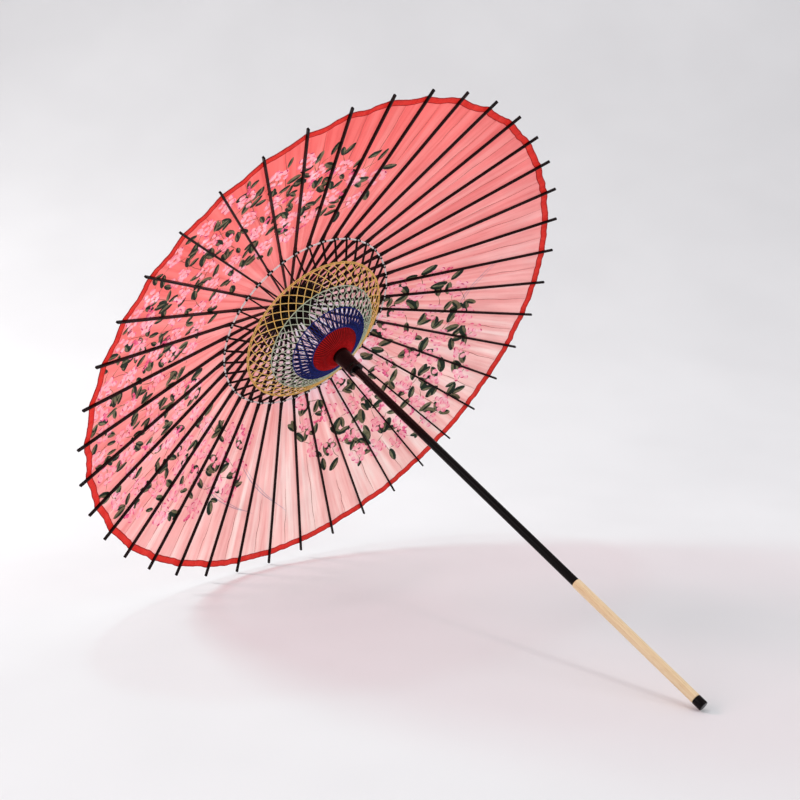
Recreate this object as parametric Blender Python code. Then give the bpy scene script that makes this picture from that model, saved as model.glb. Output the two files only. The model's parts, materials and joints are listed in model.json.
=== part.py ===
"""Japanese dance umbrella, fully open: shaft, hubs, forty ribs, forty struts, cover and laced threads.

The origin is the centre of the end cap's flat bottom and +Z runs up the shaft, in metres. Rib n lies
at azimuth n times 9 degrees. The struts are grouped in eight fans of five, each fan held together by
its stretch of the white cord. Closing turns every rib down about its head hinge, while the runner
slides down the shaft and the struts turn up about their hinges on it.
"""

import math

import bmesh
import bpy
from mathutils import Matrix, Vector

# Driving sizes
RIB_COUNT = 40
FAN_STRUTS = 5
TIP_RADIUS = 0.410
TIP_HEIGHT = 0.688
HEAD_PIVOT_RADIUS = 0.0164
HEAD_PIVOT_HEIGHT = 0.8104
KNUCKLE_RADIUS = 0.1454
RUNNER_PIVOT_RADIUS = 0.0174
RUNNER_PIVOT_HEIGHT = 0.6940
GRIP_TOP = 0.2103
GAP = 0.0003  # between neighbours that don't touch

SHAFT_RADIUS = 0.0057
SHAFT_TOP_RISE = 0.0136  # above the ribs' hinges
GRIP_RADIUS = 0.0064
GRIP_CHAMFER = 0.0006
END_CAP_RADIUS = 0.0065
END_CAP_HEIGHT = 0.0120
END_CAP_CHAMFER = 0.0008
CAP_PEG_RADIUS = 0.0030
CAP_PEG_LENGTH = 0.0100
TENON_RADIUS = 0.0044
TENON_LENGTH = 0.0300

EYE_RADIUS = 0.0015
EYE_HOLE_RADIUS = 0.00075
HINGE_CORD_RADIUS = 0.0004
SLOT_WIDTH = 0.0017
SLOT_OVERRUN = 0.0020  # how far the slot tools reach past a disc
SLOT_REACH = 0.0500
TONGUE_WIDTH = 0.0011
TONGUE_LENGTH = 0.0070

RIB_TOP = 0.0018  # above the line from the hinge to the tip
RIB_DEPTH_HEAD = 0.0036
RIB_DEPTH_KNUCKLE = 0.0047
RIB_DEPTH_TIP = 0.0037
RIB_WIDTH_HEAD = 0.0020
RIB_WIDTH_KNUCKLE = 0.0030
RIB_WIDTH_TIP = 0.0027
KNUCKLE_HALF = 0.0070
KNUCKLE_SHOULDER = 0.0080

STRUT_WIDTH = 0.0012
STRUT_DEPTH = 0.0030
KNUCKLE_CLEARANCE = 0.0004  # strut's outer end to the rib above it: the linkage's open pivot
WHITE_CORD_RADIUS = 0.0006
WHITE_CORD_FROM_END = 0.0068

COVER_THICKNESS = 0.0010
COVER_START = 0.0038  # along the rib, from its hinge
BAND_OUTER = 0.970  # as shares of the tip radius
BAND_INNER = 0.949

LACING_CLIMB_END = 0.0240  # where the funnel reaches the struts
LACING_OUTER = 0.1150
LACING_THICKNESS = 0.0008

HEAD_DISC_RADIUS = 0.0190
HEAD_DISC_DEPTH = 0.0060  # below the ribs' hinges
HEAD_CORE_RADIUS = 0.0120
HEAD_CORE_RISE = 0.0062
HEAD_NECK_RADIUS = 0.0110
HEAD_NECK_TAPER = 0.0010
HEAD_NECK_LENGTH = 0.0150
RUNNER_DISC_RADIUS = 0.0195
RUNNER_DISC_DEPTH = 0.0032  # below the struts' hinges
RUNNER_CORE_WALL = 0.0010
RUNNER_CORE_RISE = 0.0020
RUNNER_TOP_RADIUS = 0.0126
RUNNER_TOP_LENGTH = 0.0040
RUNNER_LOW_RADIUS = 0.0107
RUNNER_COLLAR_RADIUS = 0.0112
RUNNER_COLLAR_LENGTH = 0.0065
RUNNER_COLLAR_STEP = 0.0008
RUNNER_BOTTOM = 0.6520

CATCH_AZIMUTH = math.radians(-47)
CATCH_LENGTH = 0.0220
CATCH_WIDTH = 0.0014
CATCH_PROUD = 0.0032
CATCH_NOSE_LENGTH = 0.0030
CATCH_NOSE_SLOPE = 0.0006
CATCH_HOLE = (0.0022, 0.0050, 0.0008)  # from the axis, below the top, radius
CATCH_SLOT_BACK = -0.0036
CATCH_SLOT_REACH = 0.0200

HEAD_CAP_RADIUS = 0.0262
HEAD_CAP_HEIGHT = 0.0215
CAP_ROOF_RISE = 0.0042  # its inside, above the ribs' hinges
CAP_RIM_HEIGHT = 0.0015
CAP_DOME_INSET = 0.0012
CAP_DOME_START = 0.0020
CAP_DOME_RISE = 0.0155
CAP_KNOB_RADIUS = 0.0050
CAP_KNOB_TOP_RADIUS = 0.0036
CAP_KNOB_HEIGHT = 0.0020

ROUND_STEPS = 24
DISC_STEPS = 20
HOLE_STEPS = 8
CORD_STEPS = 5
EYE_STEPS = 4

# Worked out from the driving sizes
RIB_STEP = 2 * math.pi / RIB_COUNT
BORE_RADIUS = SHAFT_RADIUS + GAP
DROOP = math.atan2(HEAD_PIVOT_HEIGHT - TIP_HEIGHT, TIP_RADIUS - HEAD_PIVOT_RADIUS)
RIB_LENGTH = (TIP_RADIUS - HEAD_PIVOT_RADIUS) / math.cos(DROOP)
KNUCKLE_REACH = (KNUCKLE_RADIUS - HEAD_PIVOT_RADIUS) / math.cos(DROOP)
KNUCKLE_HEIGHT = HEAD_PIVOT_HEIGHT - KNUCKLE_REACH * math.sin(DROOP)
STRUT_RISE = math.atan2(KNUCKLE_HEIGHT - RUNNER_PIVOT_HEIGHT, KNUCKLE_RADIUS - RUNNER_PIVOT_RADIUS)
STRUT_LENGTH = (KNUCKLE_RADIUS - RUNNER_PIVOT_RADIUS) / math.cos(STRUT_RISE)
TEETH_TOP_DROP = HINGE_CORD_RADIUS + GAP  # the hinge cord rests just above the hub's teeth
CATCH_TOP = RUNNER_BOTTOM - GAP
SHAFT_TOP = HEAD_PIVOT_HEIGHT + SHAFT_TOP_RISE
RUNNER_DISC_BOTTOM = RUNNER_PIVOT_HEIGHT - RUNNER_DISC_DEPTH

COLOURS = {  # colour, roughness, metallic
    "black_lacquer": ((0.010, 0.008, 0.009), 0.25, 0.0),
    "dark_rib": ((0.045, 0.010, 0.012), 0.45, 0.0),
    "pale_wood": ((0.80, 0.56, 0.31), 0.45, 0.0),
    "cover": ((0.95, 0.42, 0.38), 0.60, 0.0),
    "red_band": ((0.72, 0.05, 0.05), 0.60, 0.0),
    "lacing_thread": ((0.60, 0.02, 0.03), 0.60, 0.0),
    "white_cord": ((0.85, 0.83, 0.80), 0.70, 0.0),
    "dark_cord": ((0.05, 0.01, 0.01), 0.70, 0.0),
    "spring_steel": ((0.60, 0.58, 0.55), 0.35, 1.0),
}


def clear_scene():
    for obj in list(bpy.data.objects):
        bpy.data.objects.remove(obj, do_unlink=True)


def material(slot):
    """The slot's Principled material, made on first use."""
    found = bpy.data.materials.get(slot)
    if found:
        return found
    colour, roughness, metallic = COLOURS[slot]
    made = bpy.data.materials.new(slot)
    made.use_nodes = True
    shader = made.node_tree.nodes["Principled BSDF"]
    shader.inputs["Base Color"].default_value = (*colour, 1.0)
    shader.inputs["Roughness"].default_value = roughness
    shader.inputs["Metallic"].default_value = metallic
    return made


def mesh_from(bm, name):
    """A finished mesh with its faces pointing out and its round parts smooth."""
    bmesh.ops.recalc_face_normals(bm, faces=bm.faces)
    mesh = bpy.data.meshes.new(name)
    bm.to_mesh(mesh)
    bm.free()
    mesh.shade_smooth()
    mesh.set_sharp_from_angle(angle=math.radians(35))
    return mesh


def add_object(name, mesh, slot=None, place=None):
    obj = bpy.data.objects.new(name, mesh)
    bpy.context.scene.collection.objects.link(obj)
    if slot and not mesh.materials:
        mesh.materials.append(material(slot))
    if place is not None:
        obj.matrix_world = place
    return obj


def add_cutter(name, mesh, target, operation="DIFFERENCE"):
    """A hidden tool object, used by a Boolean on the target."""
    tool = add_object(name, mesh)
    tool.hide_render = True
    tool.display_type = "WIRE"
    cut = target.modifiers.new(name, "BOOLEAN")
    cut.operation = operation
    cut.solver = "EXACT"
    cut.object = tool
    return tool


def evaluated_mesh(obj, name):
    """The object's mesh with its modifiers applied."""
    bpy.context.view_layer.update()
    graph = bpy.context.evaluated_depsgraph_get()
    mesh = bpy.data.meshes.new_from_object(obj.evaluated_get(graph))
    mesh.name = name
    return mesh


def turned(profile, steps, closed, azimuth=0.0):
    """A profile of (radius, height) points spun about Z; a closed profile makes a ring or a bored part."""
    bm = bmesh.new()
    start = Matrix.Rotation(azimuth, 3, "Z")
    verts = [bm.verts.new(start @ Vector((radius, 0, height))) for radius, height in profile]
    pairs = list(zip(verts, verts[1:]))
    if closed:
        pairs.append((verts[-1], verts[0]))
    edges = [bm.edges.new(pair) for pair in pairs]
    bmesh.ops.spin(bm, geom=verts + edges, cent=(0, 0, 0), axis=(0, 0, 1), angle=2 * math.pi,
                   steps=steps, use_merge=True)
    bmesh.ops.remove_doubles(bm, verts=bm.verts, dist=1e-6)
    return bm


def add_turned(name, profile, slot, steps=ROUND_STEPS, closed=False):
    return add_object(name, mesh_from(turned(profile, steps, closed), name), slot)


def circle(x, z, radius, steps, start=0.0, end=2 * math.pi):
    """Points (x, z) along an arc; a full circle leaves out its repeated last point."""
    full = abs(end - start) >= 2 * math.pi - 1e-9
    count = steps if full else steps + 1
    angles = [start + (end - start) * i / steps for i in range(count)]
    return [(x + radius * math.cos(a), z + radius * math.sin(a)) for a in angles]


def plate(outline, hole, width):
    """A side outline in XZ with one hole, as a plate of the given width centred on Y."""
    bm = bmesh.new()
    edges = []
    for loop in (outline, hole):
        verts = [bm.verts.new((x, -width / 2, z)) for x, z in loop]
        edges += [bm.edges.new((a, b)) for a, b in zip(verts, verts[1:] + verts[:1])]
    bmesh.ops.triangle_fill(bm, edges=edges, use_beauty=True)
    side = bmesh.ops.extrude_face_region(bm, geom=bm.faces[:])
    moved = [item for item in side["geom"] if isinstance(item, bmesh.types.BMVert)]
    bmesh.ops.translate(bm, verts=moved, vec=(0, width, 0))
    return bm


def box(bm, low, high, turn=None):
    """A box between two corners, added to a mesh and then turned."""
    centre = [(a + b) / 2 for a, b in zip(low, high)]
    size = [b - a for a, b in zip(low, high)]
    place = (turn or Matrix()) @ Matrix.Translation(centre) @ Matrix.Diagonal((*size, 1))
    bmesh.ops.create_cube(bm, size=1, matrix=place)


def slots_mesh(inner_radius, low, high):
    """One radial slot for each rib, cut through a disc, as a ring of separate boxes."""
    bm = bmesh.new()
    for n in range(RIB_COUNT):
        turn = Matrix.Rotation(n * RIB_STEP, 4, "Z")
        box(bm, (inner_radius, -SLOT_WIDTH / 2, low - SLOT_OVERRUN),
            (SLOT_REACH, SLOT_WIDTH / 2, high + SLOT_OVERRUN), turn)
    return mesh_from(bm, "slots")


def add_hinge_cord(name, radius, height):
    """The cord ring that the eyes turn on: a forty-sided ring, straight where it passes through an eye."""
    corner = radius / math.cos(RIB_STEP / 2)
    section = circle(corner, height, HINGE_CORD_RADIUS, CORD_STEPS)
    ring = turned(section, RIB_COUNT, closed=True, azimuth=RIB_STEP / 2)
    return add_object(name, mesh_from(ring, name), "dark_cord")


def on_rib(along, above):
    """(radius, height) of a point along a rib from its hinge, and above its centre line."""
    radius = HEAD_PIVOT_RADIUS + along * math.cos(DROOP) + above * math.sin(DROOP)
    height = HEAD_PIVOT_HEIGHT - along * math.sin(DROOP) + above * math.cos(DROOP)
    return radius, height


def along_rib(radius):
    """How far along the rib its centre line reaches this radius."""
    return (radius - HEAD_PIVOT_RADIUS) / math.cos(DROOP)


def add_shaft():
    tenon_bottom = GRIP_TOP - TENON_LENGTH
    profile = [(0, tenon_bottom), (TENON_RADIUS, tenon_bottom), (TENON_RADIUS, GRIP_TOP + GAP),
               (SHAFT_RADIUS, GRIP_TOP + GAP), (SHAFT_RADIUS, SHAFT_TOP), (0, SHAFT_TOP)]
    shaft = add_turned("shaft", profile, "black_lacquer")
    slot = bmesh.new()
    half = CATCH_WIDTH / 2 + GAP
    box(slot, (CATCH_SLOT_BACK, -half, CATCH_TOP - CATCH_LENGTH - GAP),
        (CATCH_SLOT_REACH, half, CATCH_TOP + GAP), Matrix.Rotation(CATCH_AZIMUTH, 4, "Z"))
    add_cutter("catch_slot_cutter", mesh_from(slot, "catch_slot"), shaft)


def add_grip():
    chamfer = GRIP_CHAMFER
    bottom = END_CAP_HEIGHT + GAP
    peg_hole = CAP_PEG_RADIUS + GAP
    socket = TENON_RADIUS + GAP
    peg_hole_top = bottom + CAP_PEG_LENGTH
    socket_bottom = GRIP_TOP - TENON_LENGTH - GAP
    lower = [(0, peg_hole_top), (peg_hole, peg_hole_top), (peg_hole, bottom),
             (GRIP_RADIUS - chamfer, bottom), (GRIP_RADIUS, bottom + chamfer)]
    upper = [(GRIP_RADIUS, GRIP_TOP - chamfer), (GRIP_RADIUS - chamfer, GRIP_TOP), (socket, GRIP_TOP),
             (socket, socket_bottom), (0, socket_bottom)]
    add_turned("grip", lower + upper, "pale_wood")


def add_end_cap():
    chamfer = END_CAP_CHAMFER
    peg_top = END_CAP_HEIGHT + CAP_PEG_LENGTH
    profile = [(0, 0), (END_CAP_RADIUS - chamfer, 0), (END_CAP_RADIUS, chamfer),
               (END_CAP_RADIUS, END_CAP_HEIGHT - chamfer), (END_CAP_RADIUS - chamfer, END_CAP_HEIGHT),
               (CAP_PEG_RADIUS, END_CAP_HEIGHT), (CAP_PEG_RADIUS, peg_top), (0, peg_top)]
    add_turned("end_cap", profile, "black_lacquer")


def add_head_hub():
    """The upper hub: a slotted disc that holds the rib eyes, between a neck and a core."""
    pivot = HEAD_PIVOT_HEIGHT
    teeth_top = pivot - TEETH_TOP_DROP
    disc_bottom = pivot - HEAD_DISC_DEPTH
    neck_bottom = disc_bottom - HEAD_NECK_LENGTH
    core_top = pivot + HEAD_CORE_RISE
    eye_room = HEAD_PIVOT_RADIUS - EYE_RADIUS - GAP
    profile = [(BORE_RADIUS, neck_bottom), (HEAD_NECK_RADIUS - HEAD_NECK_TAPER, neck_bottom),
               (HEAD_NECK_RADIUS, disc_bottom), (HEAD_DISC_RADIUS, disc_bottom),
               (HEAD_DISC_RADIUS, teeth_top), (HEAD_CORE_RADIUS, teeth_top),
               (HEAD_CORE_RADIUS, core_top), (BORE_RADIUS, core_top)]
    hub = add_turned("head_hub", profile, "black_lacquer", DISC_STEPS, closed=True)
    add_cutter("head_slot_cutter", slots_mesh(eye_room, disc_bottom, teeth_top), hub)


def add_runner():
    """The sliding hub: a slotted disc for the strut eyes on a tapering neck with a low collar."""
    pivot = RUNNER_PIVOT_HEIGHT
    teeth_top = pivot - TEETH_TOP_DROP
    disc_bottom = RUNNER_DISC_BOTTOM
    core_top = pivot + RUNNER_CORE_RISE
    eye_room = RUNNER_PIVOT_RADIUS - EYE_RADIUS - GAP
    core = eye_room - RUNNER_CORE_WALL
    collar_top = RUNNER_BOTTOM + RUNNER_COLLAR_LENGTH
    outside = [(RUNNER_COLLAR_RADIUS, RUNNER_BOTTOM), (RUNNER_COLLAR_RADIUS, collar_top),
               (RUNNER_LOW_RADIUS, collar_top + RUNNER_COLLAR_STEP),
               (RUNNER_TOP_RADIUS, disc_bottom - RUNNER_TOP_LENGTH), (RUNNER_TOP_RADIUS, disc_bottom),
               (RUNNER_DISC_RADIUS, disc_bottom), (RUNNER_DISC_RADIUS, teeth_top)]
    profile = [(BORE_RADIUS, RUNNER_BOTTOM)] + outside
    profile += [(core, teeth_top), (core, core_top), (BORE_RADIUS, core_top)]
    runner = add_turned("runner", profile, "black_lacquer", DISC_STEPS, closed=True)
    add_cutter("runner_slot_cutter", slots_mesh(eye_room, disc_bottom, teeth_top), runner)


def add_head_cap():
    """The cap over the hub and the cover's centre: a low dome with a knob, hollow under its skirt."""
    rim_height = on_rib(along_rib(HEAD_CAP_RADIUS), RIB_TOP + COVER_THICKNESS + 3 * GAP)[1]
    roof = HEAD_PIVOT_HEIGHT + CAP_ROOF_RISE
    core_room = HEAD_CORE_RADIUS + GAP
    core_top = HEAD_PIVOT_HEIGHT + HEAD_CORE_RISE + GAP
    inside = [(0, SHAFT_TOP + GAP), (BORE_RADIUS, SHAFT_TOP + GAP), (BORE_RADIUS, core_top),
              (core_room, core_top), (core_room, roof), (HEAD_DISC_RADIUS, roof)]
    dome_radius = HEAD_CAP_RADIUS - CAP_DOME_INSET
    dome_bottom = rim_height + CAP_DOME_START
    dome = [(dome_radius * math.cos(a), dome_bottom + CAP_DOME_RISE * math.sin(a))
            for a in (math.radians(15 * i) for i in range(6))]
    knob_top = rim_height + HEAD_CAP_HEIGHT
    knob = [(CAP_KNOB_RADIUS, knob_top - CAP_KNOB_HEIGHT), (CAP_KNOB_TOP_RADIUS, knob_top), (0, knob_top)]
    rim = [(HEAD_CAP_RADIUS, rim_height), (HEAD_CAP_RADIUS, rim_height + CAP_RIM_HEIGHT)]
    add_turned("head_cap", inside + rim + dome + knob, "black_lacquer")


def add_catch():
    """The wedge of spring steel in the shaft's slot that holds the runner up."""
    bottom = CATCH_TOP - CATCH_LENGTH
    outer = SHAFT_RADIUS + CATCH_PROUD
    nose = (outer - CATCH_NOSE_SLOPE, CATCH_TOP - CATCH_NOSE_LENGTH)
    outline = [(0, bottom), (SHAFT_RADIUS - GAP, bottom), nose, (outer, CATCH_TOP), (0, CATCH_TOP)]
    from_axis, below_top, hole_radius = CATCH_HOLE
    hole = circle(from_axis, CATCH_TOP - below_top, hole_radius, HOLE_STEPS)
    turn = Matrix.Rotation(CATCH_AZIMUTH, 4, "Z")
    mesh = mesh_from(plate(outline, hole, CATCH_WIDTH), "catch_spring")
    add_object("catch_spring", mesh, "spring_steel", turn)


def rib_mesh():
    """A rib along +X from its hinge: an eyed tongue, then a stick that swells at the knuckle."""
    eye = circle(0, 0, EYE_RADIUS, EYE_STEPS, math.pi / 2, 3 * math.pi / 2)
    outline = eye + [(TONGUE_LENGTH, -EYE_RADIUS), (TONGUE_LENGTH, EYE_RADIUS)]
    bm = plate(outline, circle(0, 0, EYE_HOLE_RADIUS, HOLE_STEPS), TONGUE_WIDTH)
    bmesh.ops.recalc_face_normals(bm, faces=bm.faces)
    mid_width = (RIB_WIDTH_HEAD + RIB_WIDTH_TIP) / 2
    mid_depth = (RIB_DEPTH_HEAD + RIB_DEPTH_KNUCKLE) / 2
    swell_start = KNUCKLE_REACH - KNUCKLE_HALF
    swell_end = KNUCKLE_REACH + KNUCKLE_HALF
    stations = (
        (TONGUE_LENGTH + 0.0005, RIB_WIDTH_HEAD, RIB_DEPTH_HEAD),
        (swell_start - KNUCKLE_SHOULDER, mid_width, mid_depth),
        (swell_start, RIB_WIDTH_KNUCKLE, RIB_DEPTH_KNUCKLE),
        (swell_end, RIB_WIDTH_KNUCKLE, RIB_DEPTH_KNUCKLE),
        (swell_end + KNUCKLE_SHOULDER, mid_width, mid_depth),
        (RIB_LENGTH, RIB_WIDTH_TIP, RIB_DEPTH_TIP),
    )
    end = max(bm.faces, key=lambda face: face.calc_center_median().x)
    for along, width, depth in stations:
        end = bmesh.ops.extrude_discrete_faces(bm, faces=[end])["faces"][0]
        middle = end.calc_center_median()
        for vert in end.verts:
            side = math.copysign(width / 2, vert.co.y)
            height = RIB_TOP if vert.co.z > middle.z else RIB_TOP - depth
            vert.co = (along, side, height)
    return mesh_from(bm, "rib")


def add_ribs():
    mesh = rib_mesh()
    tilt = Matrix.Rotation(DROOP, 4, "Y")
    hinge = Matrix.Translation((HEAD_PIVOT_RADIUS, 0, HEAD_PIVOT_HEIGHT))
    for n in range(RIB_COUNT):
        turn = Matrix.Rotation(n * RIB_STEP, 4, "Z")
        add_object(f"rib_{n:02d}", mesh, "dark_rib", turn @ hinge @ tilt)


def strut_outline():
    """The strut's side: a round eye, and an outer end cut parallel to the rib's underside."""
    half = STRUT_DEPTH / 2
    lean = STRUT_RISE + DROOP
    below = RIB_DEPTH_KNUCKLE - RIB_TOP + KNUCKLE_CLEARANCE
    top_end = STRUT_LENGTH - below / math.sin(lean) - half / math.tan(lean)
    low_end = STRUT_LENGTH - below / math.sin(lean) + half / math.tan(lean)
    eye = circle(0, 0, half, EYE_STEPS, math.pi / 2, 3 * math.pi / 2)
    return eye + [(low_end, -half), (top_end, half)]


def white_cord_mesh(cord_along):
    """The fan's stretch of white cord, knotted at each strut and ending just short of the next fan."""
    rise = Matrix.Rotation(-STRUT_RISE, 4, "Y")
    hinge = Matrix.Translation((RUNNER_PIVOT_RADIUS, 0, RUNNER_PIVOT_HEIGHT))
    knot = hinge @ rise @ Vector((cord_along, 0, -STRUT_DEPTH / 8))
    first = -(FAN_STRUTS // 2)
    knots = [Matrix.Rotation((first + n) * RIB_STEP, 4, "Z") @ knot for n in range(FAN_STRUTS + 1)]
    last_run = knots[-1] - knots[-2]
    knots[-1] = knots[-1] - last_run.normalized() * (STRUT_WIDTH / 2 + 2 * GAP)
    curve = bpy.data.curves.new("white_cord", "CURVE")
    curve.dimensions = "3D"
    curve.bevel_depth = WHITE_CORD_RADIUS
    curve.bevel_resolution = 0
    curve.use_fill_caps = True
    spline = curve.splines.new("POLY")
    spline.points.add(len(knots) - 1)
    for point, place in zip(spline.points, knots):
        point.co = (*place, 1)
    line = bpy.data.objects.new("white_cord_line", curve)
    bpy.context.scene.collection.objects.link(line)
    mesh = evaluated_mesh(line, "white_cord")
    bpy.data.objects.remove(line, do_unlink=True)
    bm = bmesh.new()
    bm.from_mesh(mesh)
    bmesh.ops.remove_doubles(bm, verts=bm.verts, dist=1e-6)
    return mesh_from(bm, "white_cord")


def fan_mesh():
    """Five struts joined into one piece by the white cord near their outer ends."""
    strut = mesh_from(plate(strut_outline(), circle(0, 0, EYE_HOLE_RADIUS, HOLE_STEPS), STRUT_WIDTH), "strut")
    rise = Matrix.Rotation(-STRUT_RISE, 4, "Y")
    hinge = Matrix.Translation((RUNNER_PIVOT_RADIUS, 0, RUNNER_PIVOT_HEIGHT))
    bm = bmesh.new()
    for n in range(FAN_STRUTS):
        turn = Matrix.Rotation((n - FAN_STRUTS // 2) * RIB_STEP, 4, "Z")
        copy = strut.copy()
        copy.transform(turn @ hinge @ rise)
        bm.from_mesh(copy)
    fan = add_object("fan_work", mesh_from(bm, "fan_work"), "dark_rib")
    cord_along = STRUT_LENGTH - WHITE_CORD_FROM_END
    cord = add_cutter("cord_work", white_cord_mesh(cord_along), fan, "UNION")
    mesh = evaluated_mesh(fan, "strut_fan")
    for helper in (fan, cord):
        bpy.data.objects.remove(helper, do_unlink=True)
    return mesh


def add_strut_fans():
    """Each fan's origin is on its hinge axis, at its middle strut."""
    mesh = fan_mesh()
    hinge = Matrix.Translation((RUNNER_PIVOT_RADIUS, 0, RUNNER_PIVOT_HEIGHT))
    mesh.transform(hinge.inverted())
    for n in range(RIB_COUNT // FAN_STRUTS):
        middle = n * FAN_STRUTS + FAN_STRUTS // 2
        turn = Matrix.Rotation(middle * RIB_STEP, 4, "Z")
        add_object(f"strut_fan_{n + 1}", mesh, "dark_rib", turn @ hinge)


def add_sheet(name, start, end, slot):
    """A ring of the cover on top of the ribs, from one distance along them to another."""
    low = RIB_TOP + GAP
    high = low + COVER_THICKNESS
    profile = [on_rib(start, low), on_rib(end, low), on_rib(end, high), on_rib(start, high)]
    add_turned(name, profile, slot, RIB_COUNT, closed=True)


def add_cover():
    band_start = along_rib(BAND_INNER * TIP_RADIUS)
    add_sheet("canopy", COVER_START, band_start - GAP, "cover")
    add_sheet("rim_band", band_start, along_rib(BAND_OUTER * TIP_RADIUS), "red_band")


def add_lacing():
    """The laced threads under the struts, as one thin funnel from the runner's neck outward."""
    slope = math.tan(STRUT_RISE)
    under = (STRUT_DEPTH / 2 + GAP) / math.cos(STRUT_RISE)

    def under_strut(radius):
        return RUNNER_PIVOT_HEIGHT + (radius - RUNNER_PIVOT_RADIUS) * slope - under

    disc_under = RUNNER_DISC_BOTTOM - GAP
    top = [(RUNNER_TOP_RADIUS + 2 * GAP, disc_under), (RUNNER_DISC_RADIUS + 2 * GAP, disc_under),
           (LACING_CLIMB_END, under_strut(LACING_CLIMB_END)), (LACING_OUTER, under_strut(LACING_OUTER))]
    bottom = [(radius + LACING_THICKNESS / 2, height - LACING_THICKNESS)
              for radius, height in reversed(top[1:])]
    bottom.append((top[0][0], top[0][1] - LACING_THICKNESS))
    add_turned("lacing", top + bottom, "lacing_thread", RIB_COUNT, closed=True)


def build():
    clear_scene()
    add_shaft()
    add_grip()
    add_end_cap()
    add_head_hub()
    add_hinge_cord("head_cord", HEAD_PIVOT_RADIUS, HEAD_PIVOT_HEIGHT)
    add_head_cap()
    add_runner()
    add_hinge_cord("runner_cord", RUNNER_PIVOT_RADIUS, RUNNER_PIVOT_HEIGHT)
    add_catch()
    add_ribs()
    add_strut_fans()
    add_cover()
    add_lacing()


build()
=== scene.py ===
"""The looks of the dance umbrella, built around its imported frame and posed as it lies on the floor.

Lengths are metres in the frame's own axes: +Z runs up the shaft and rib n lies at azimuth n times
the rib step. A share is a share of the ribs' tip radius. Plan means seen along the shaft.
"""

import json
import math
import random

import bmesh
import bpy
from mathutils import Matrix, Vector, noise
from mathutils.geometry import delaunay_2d_cdt


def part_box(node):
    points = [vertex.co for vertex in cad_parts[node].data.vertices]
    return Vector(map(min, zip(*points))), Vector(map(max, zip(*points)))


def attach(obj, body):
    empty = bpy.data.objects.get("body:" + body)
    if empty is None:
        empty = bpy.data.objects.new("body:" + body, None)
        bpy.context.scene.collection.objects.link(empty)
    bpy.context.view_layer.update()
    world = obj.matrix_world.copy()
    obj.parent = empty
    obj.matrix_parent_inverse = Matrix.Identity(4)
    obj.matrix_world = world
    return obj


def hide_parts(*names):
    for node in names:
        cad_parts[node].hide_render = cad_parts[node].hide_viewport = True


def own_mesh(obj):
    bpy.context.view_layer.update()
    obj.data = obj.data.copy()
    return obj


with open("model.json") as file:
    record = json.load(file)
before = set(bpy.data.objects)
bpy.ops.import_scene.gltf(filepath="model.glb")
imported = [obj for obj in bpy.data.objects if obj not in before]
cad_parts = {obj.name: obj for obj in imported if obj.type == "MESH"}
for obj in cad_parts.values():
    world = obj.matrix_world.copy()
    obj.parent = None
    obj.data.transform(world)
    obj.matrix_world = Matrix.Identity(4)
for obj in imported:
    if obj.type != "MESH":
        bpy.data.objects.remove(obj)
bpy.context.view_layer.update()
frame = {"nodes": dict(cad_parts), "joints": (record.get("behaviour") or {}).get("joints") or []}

# ---------------------------------------------------------------- sizes read from the frame

JOINTS = {joint["name"]: joint for joint in frame["joints"]}
RIB_COUNT = sum(name.startswith("rib_") for name in JOINTS)
FAN_COUNT = sum(name.startswith("strut_fan_") for name in JOINTS)
FAN_STRUTS = RIB_COUNT // FAN_COUNT
RIB_STEP = 2 * math.pi / RIB_COUNT
HALF_STEP = RIB_STEP / 2


def node_profile(node):
    """The (radius, height) of each vertex of a CAD node."""
    return [(v.co.xy.length, v.co.z) for v in frame["nodes"][node].data.vertices]


def turned_size(node):
    """The radius, bottom and top of a CAD node that is round about the shaft."""
    low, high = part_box(node)
    return high.x, low.z, high.z


HEAD_PIVOT_RADIUS, _, HEAD_PIVOT_HEIGHT = JOINTS["rib_00_hinge"]["pos_m"]
FAN_PIVOT = Vector(JOINTS["strut_fan_1_hinge"]["pos_m"])
RUNNER_PIVOT_RADIUS, RUNNER_PIVOT_HEIGHT = FAN_PIVOT.xy.length, FAN_PIVOT.z
SHAFT_RADIUS, _, SHAFT_TOP = turned_size("shaft")
GRIP_RADIUS, GRIP_LOW, GRIP_TOP = turned_size("grip")
HUB_RADIUS, HUB_LOW, HUB_TOP = turned_size("head_hub")
RUNNER_RADIUS, RUNNER_LOW, RUNNER_TOP = turned_size("runner")
CAP_RADIUS, CAP_LOW, CAP_TOP = turned_size("head_cap")
END_CAP_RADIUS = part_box("end_cap")[1].x
TIP_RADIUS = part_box("rib_00")[1].x
TIP_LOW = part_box("rib_00")[0].z
COVER = node_profile("canopy")
COVER_INNER = min(COVER)[0]
COVER_OUTER, COVER_LOW = min(COVER, key=lambda point: point[1])
COVER_TOP_INNER = max(COVER, key=lambda point: point[1])
COVER_TOP_OUTER = max(COVER)
BAND_OUTER = max(node_profile("rim_band"))[0]
DROOP = math.atan2(COVER_TOP_INNER[1] - COVER_TOP_OUTER[1], COVER_TOP_OUTER[0] - COVER_TOP_INNER[0])
KNUCKLE_HALF_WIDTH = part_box("rib_00")[1].y
KNUCKLE = [v.co for v in frame["nodes"]["rib_00"].data.vertices if v.co.y > 0.99 * KNUCKLE_HALF_WIDTH]
KNUCKLE_RADIUS = sum(place.x for place in KNUCKLE) / len(KNUCKLE)


def rib_line(radius):
    """The height of a rib's centre line at a radius."""
    return HEAD_PIVOT_HEIGHT - (radius - HEAD_PIVOT_RADIUS) * math.tan(DROOP)


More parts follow.
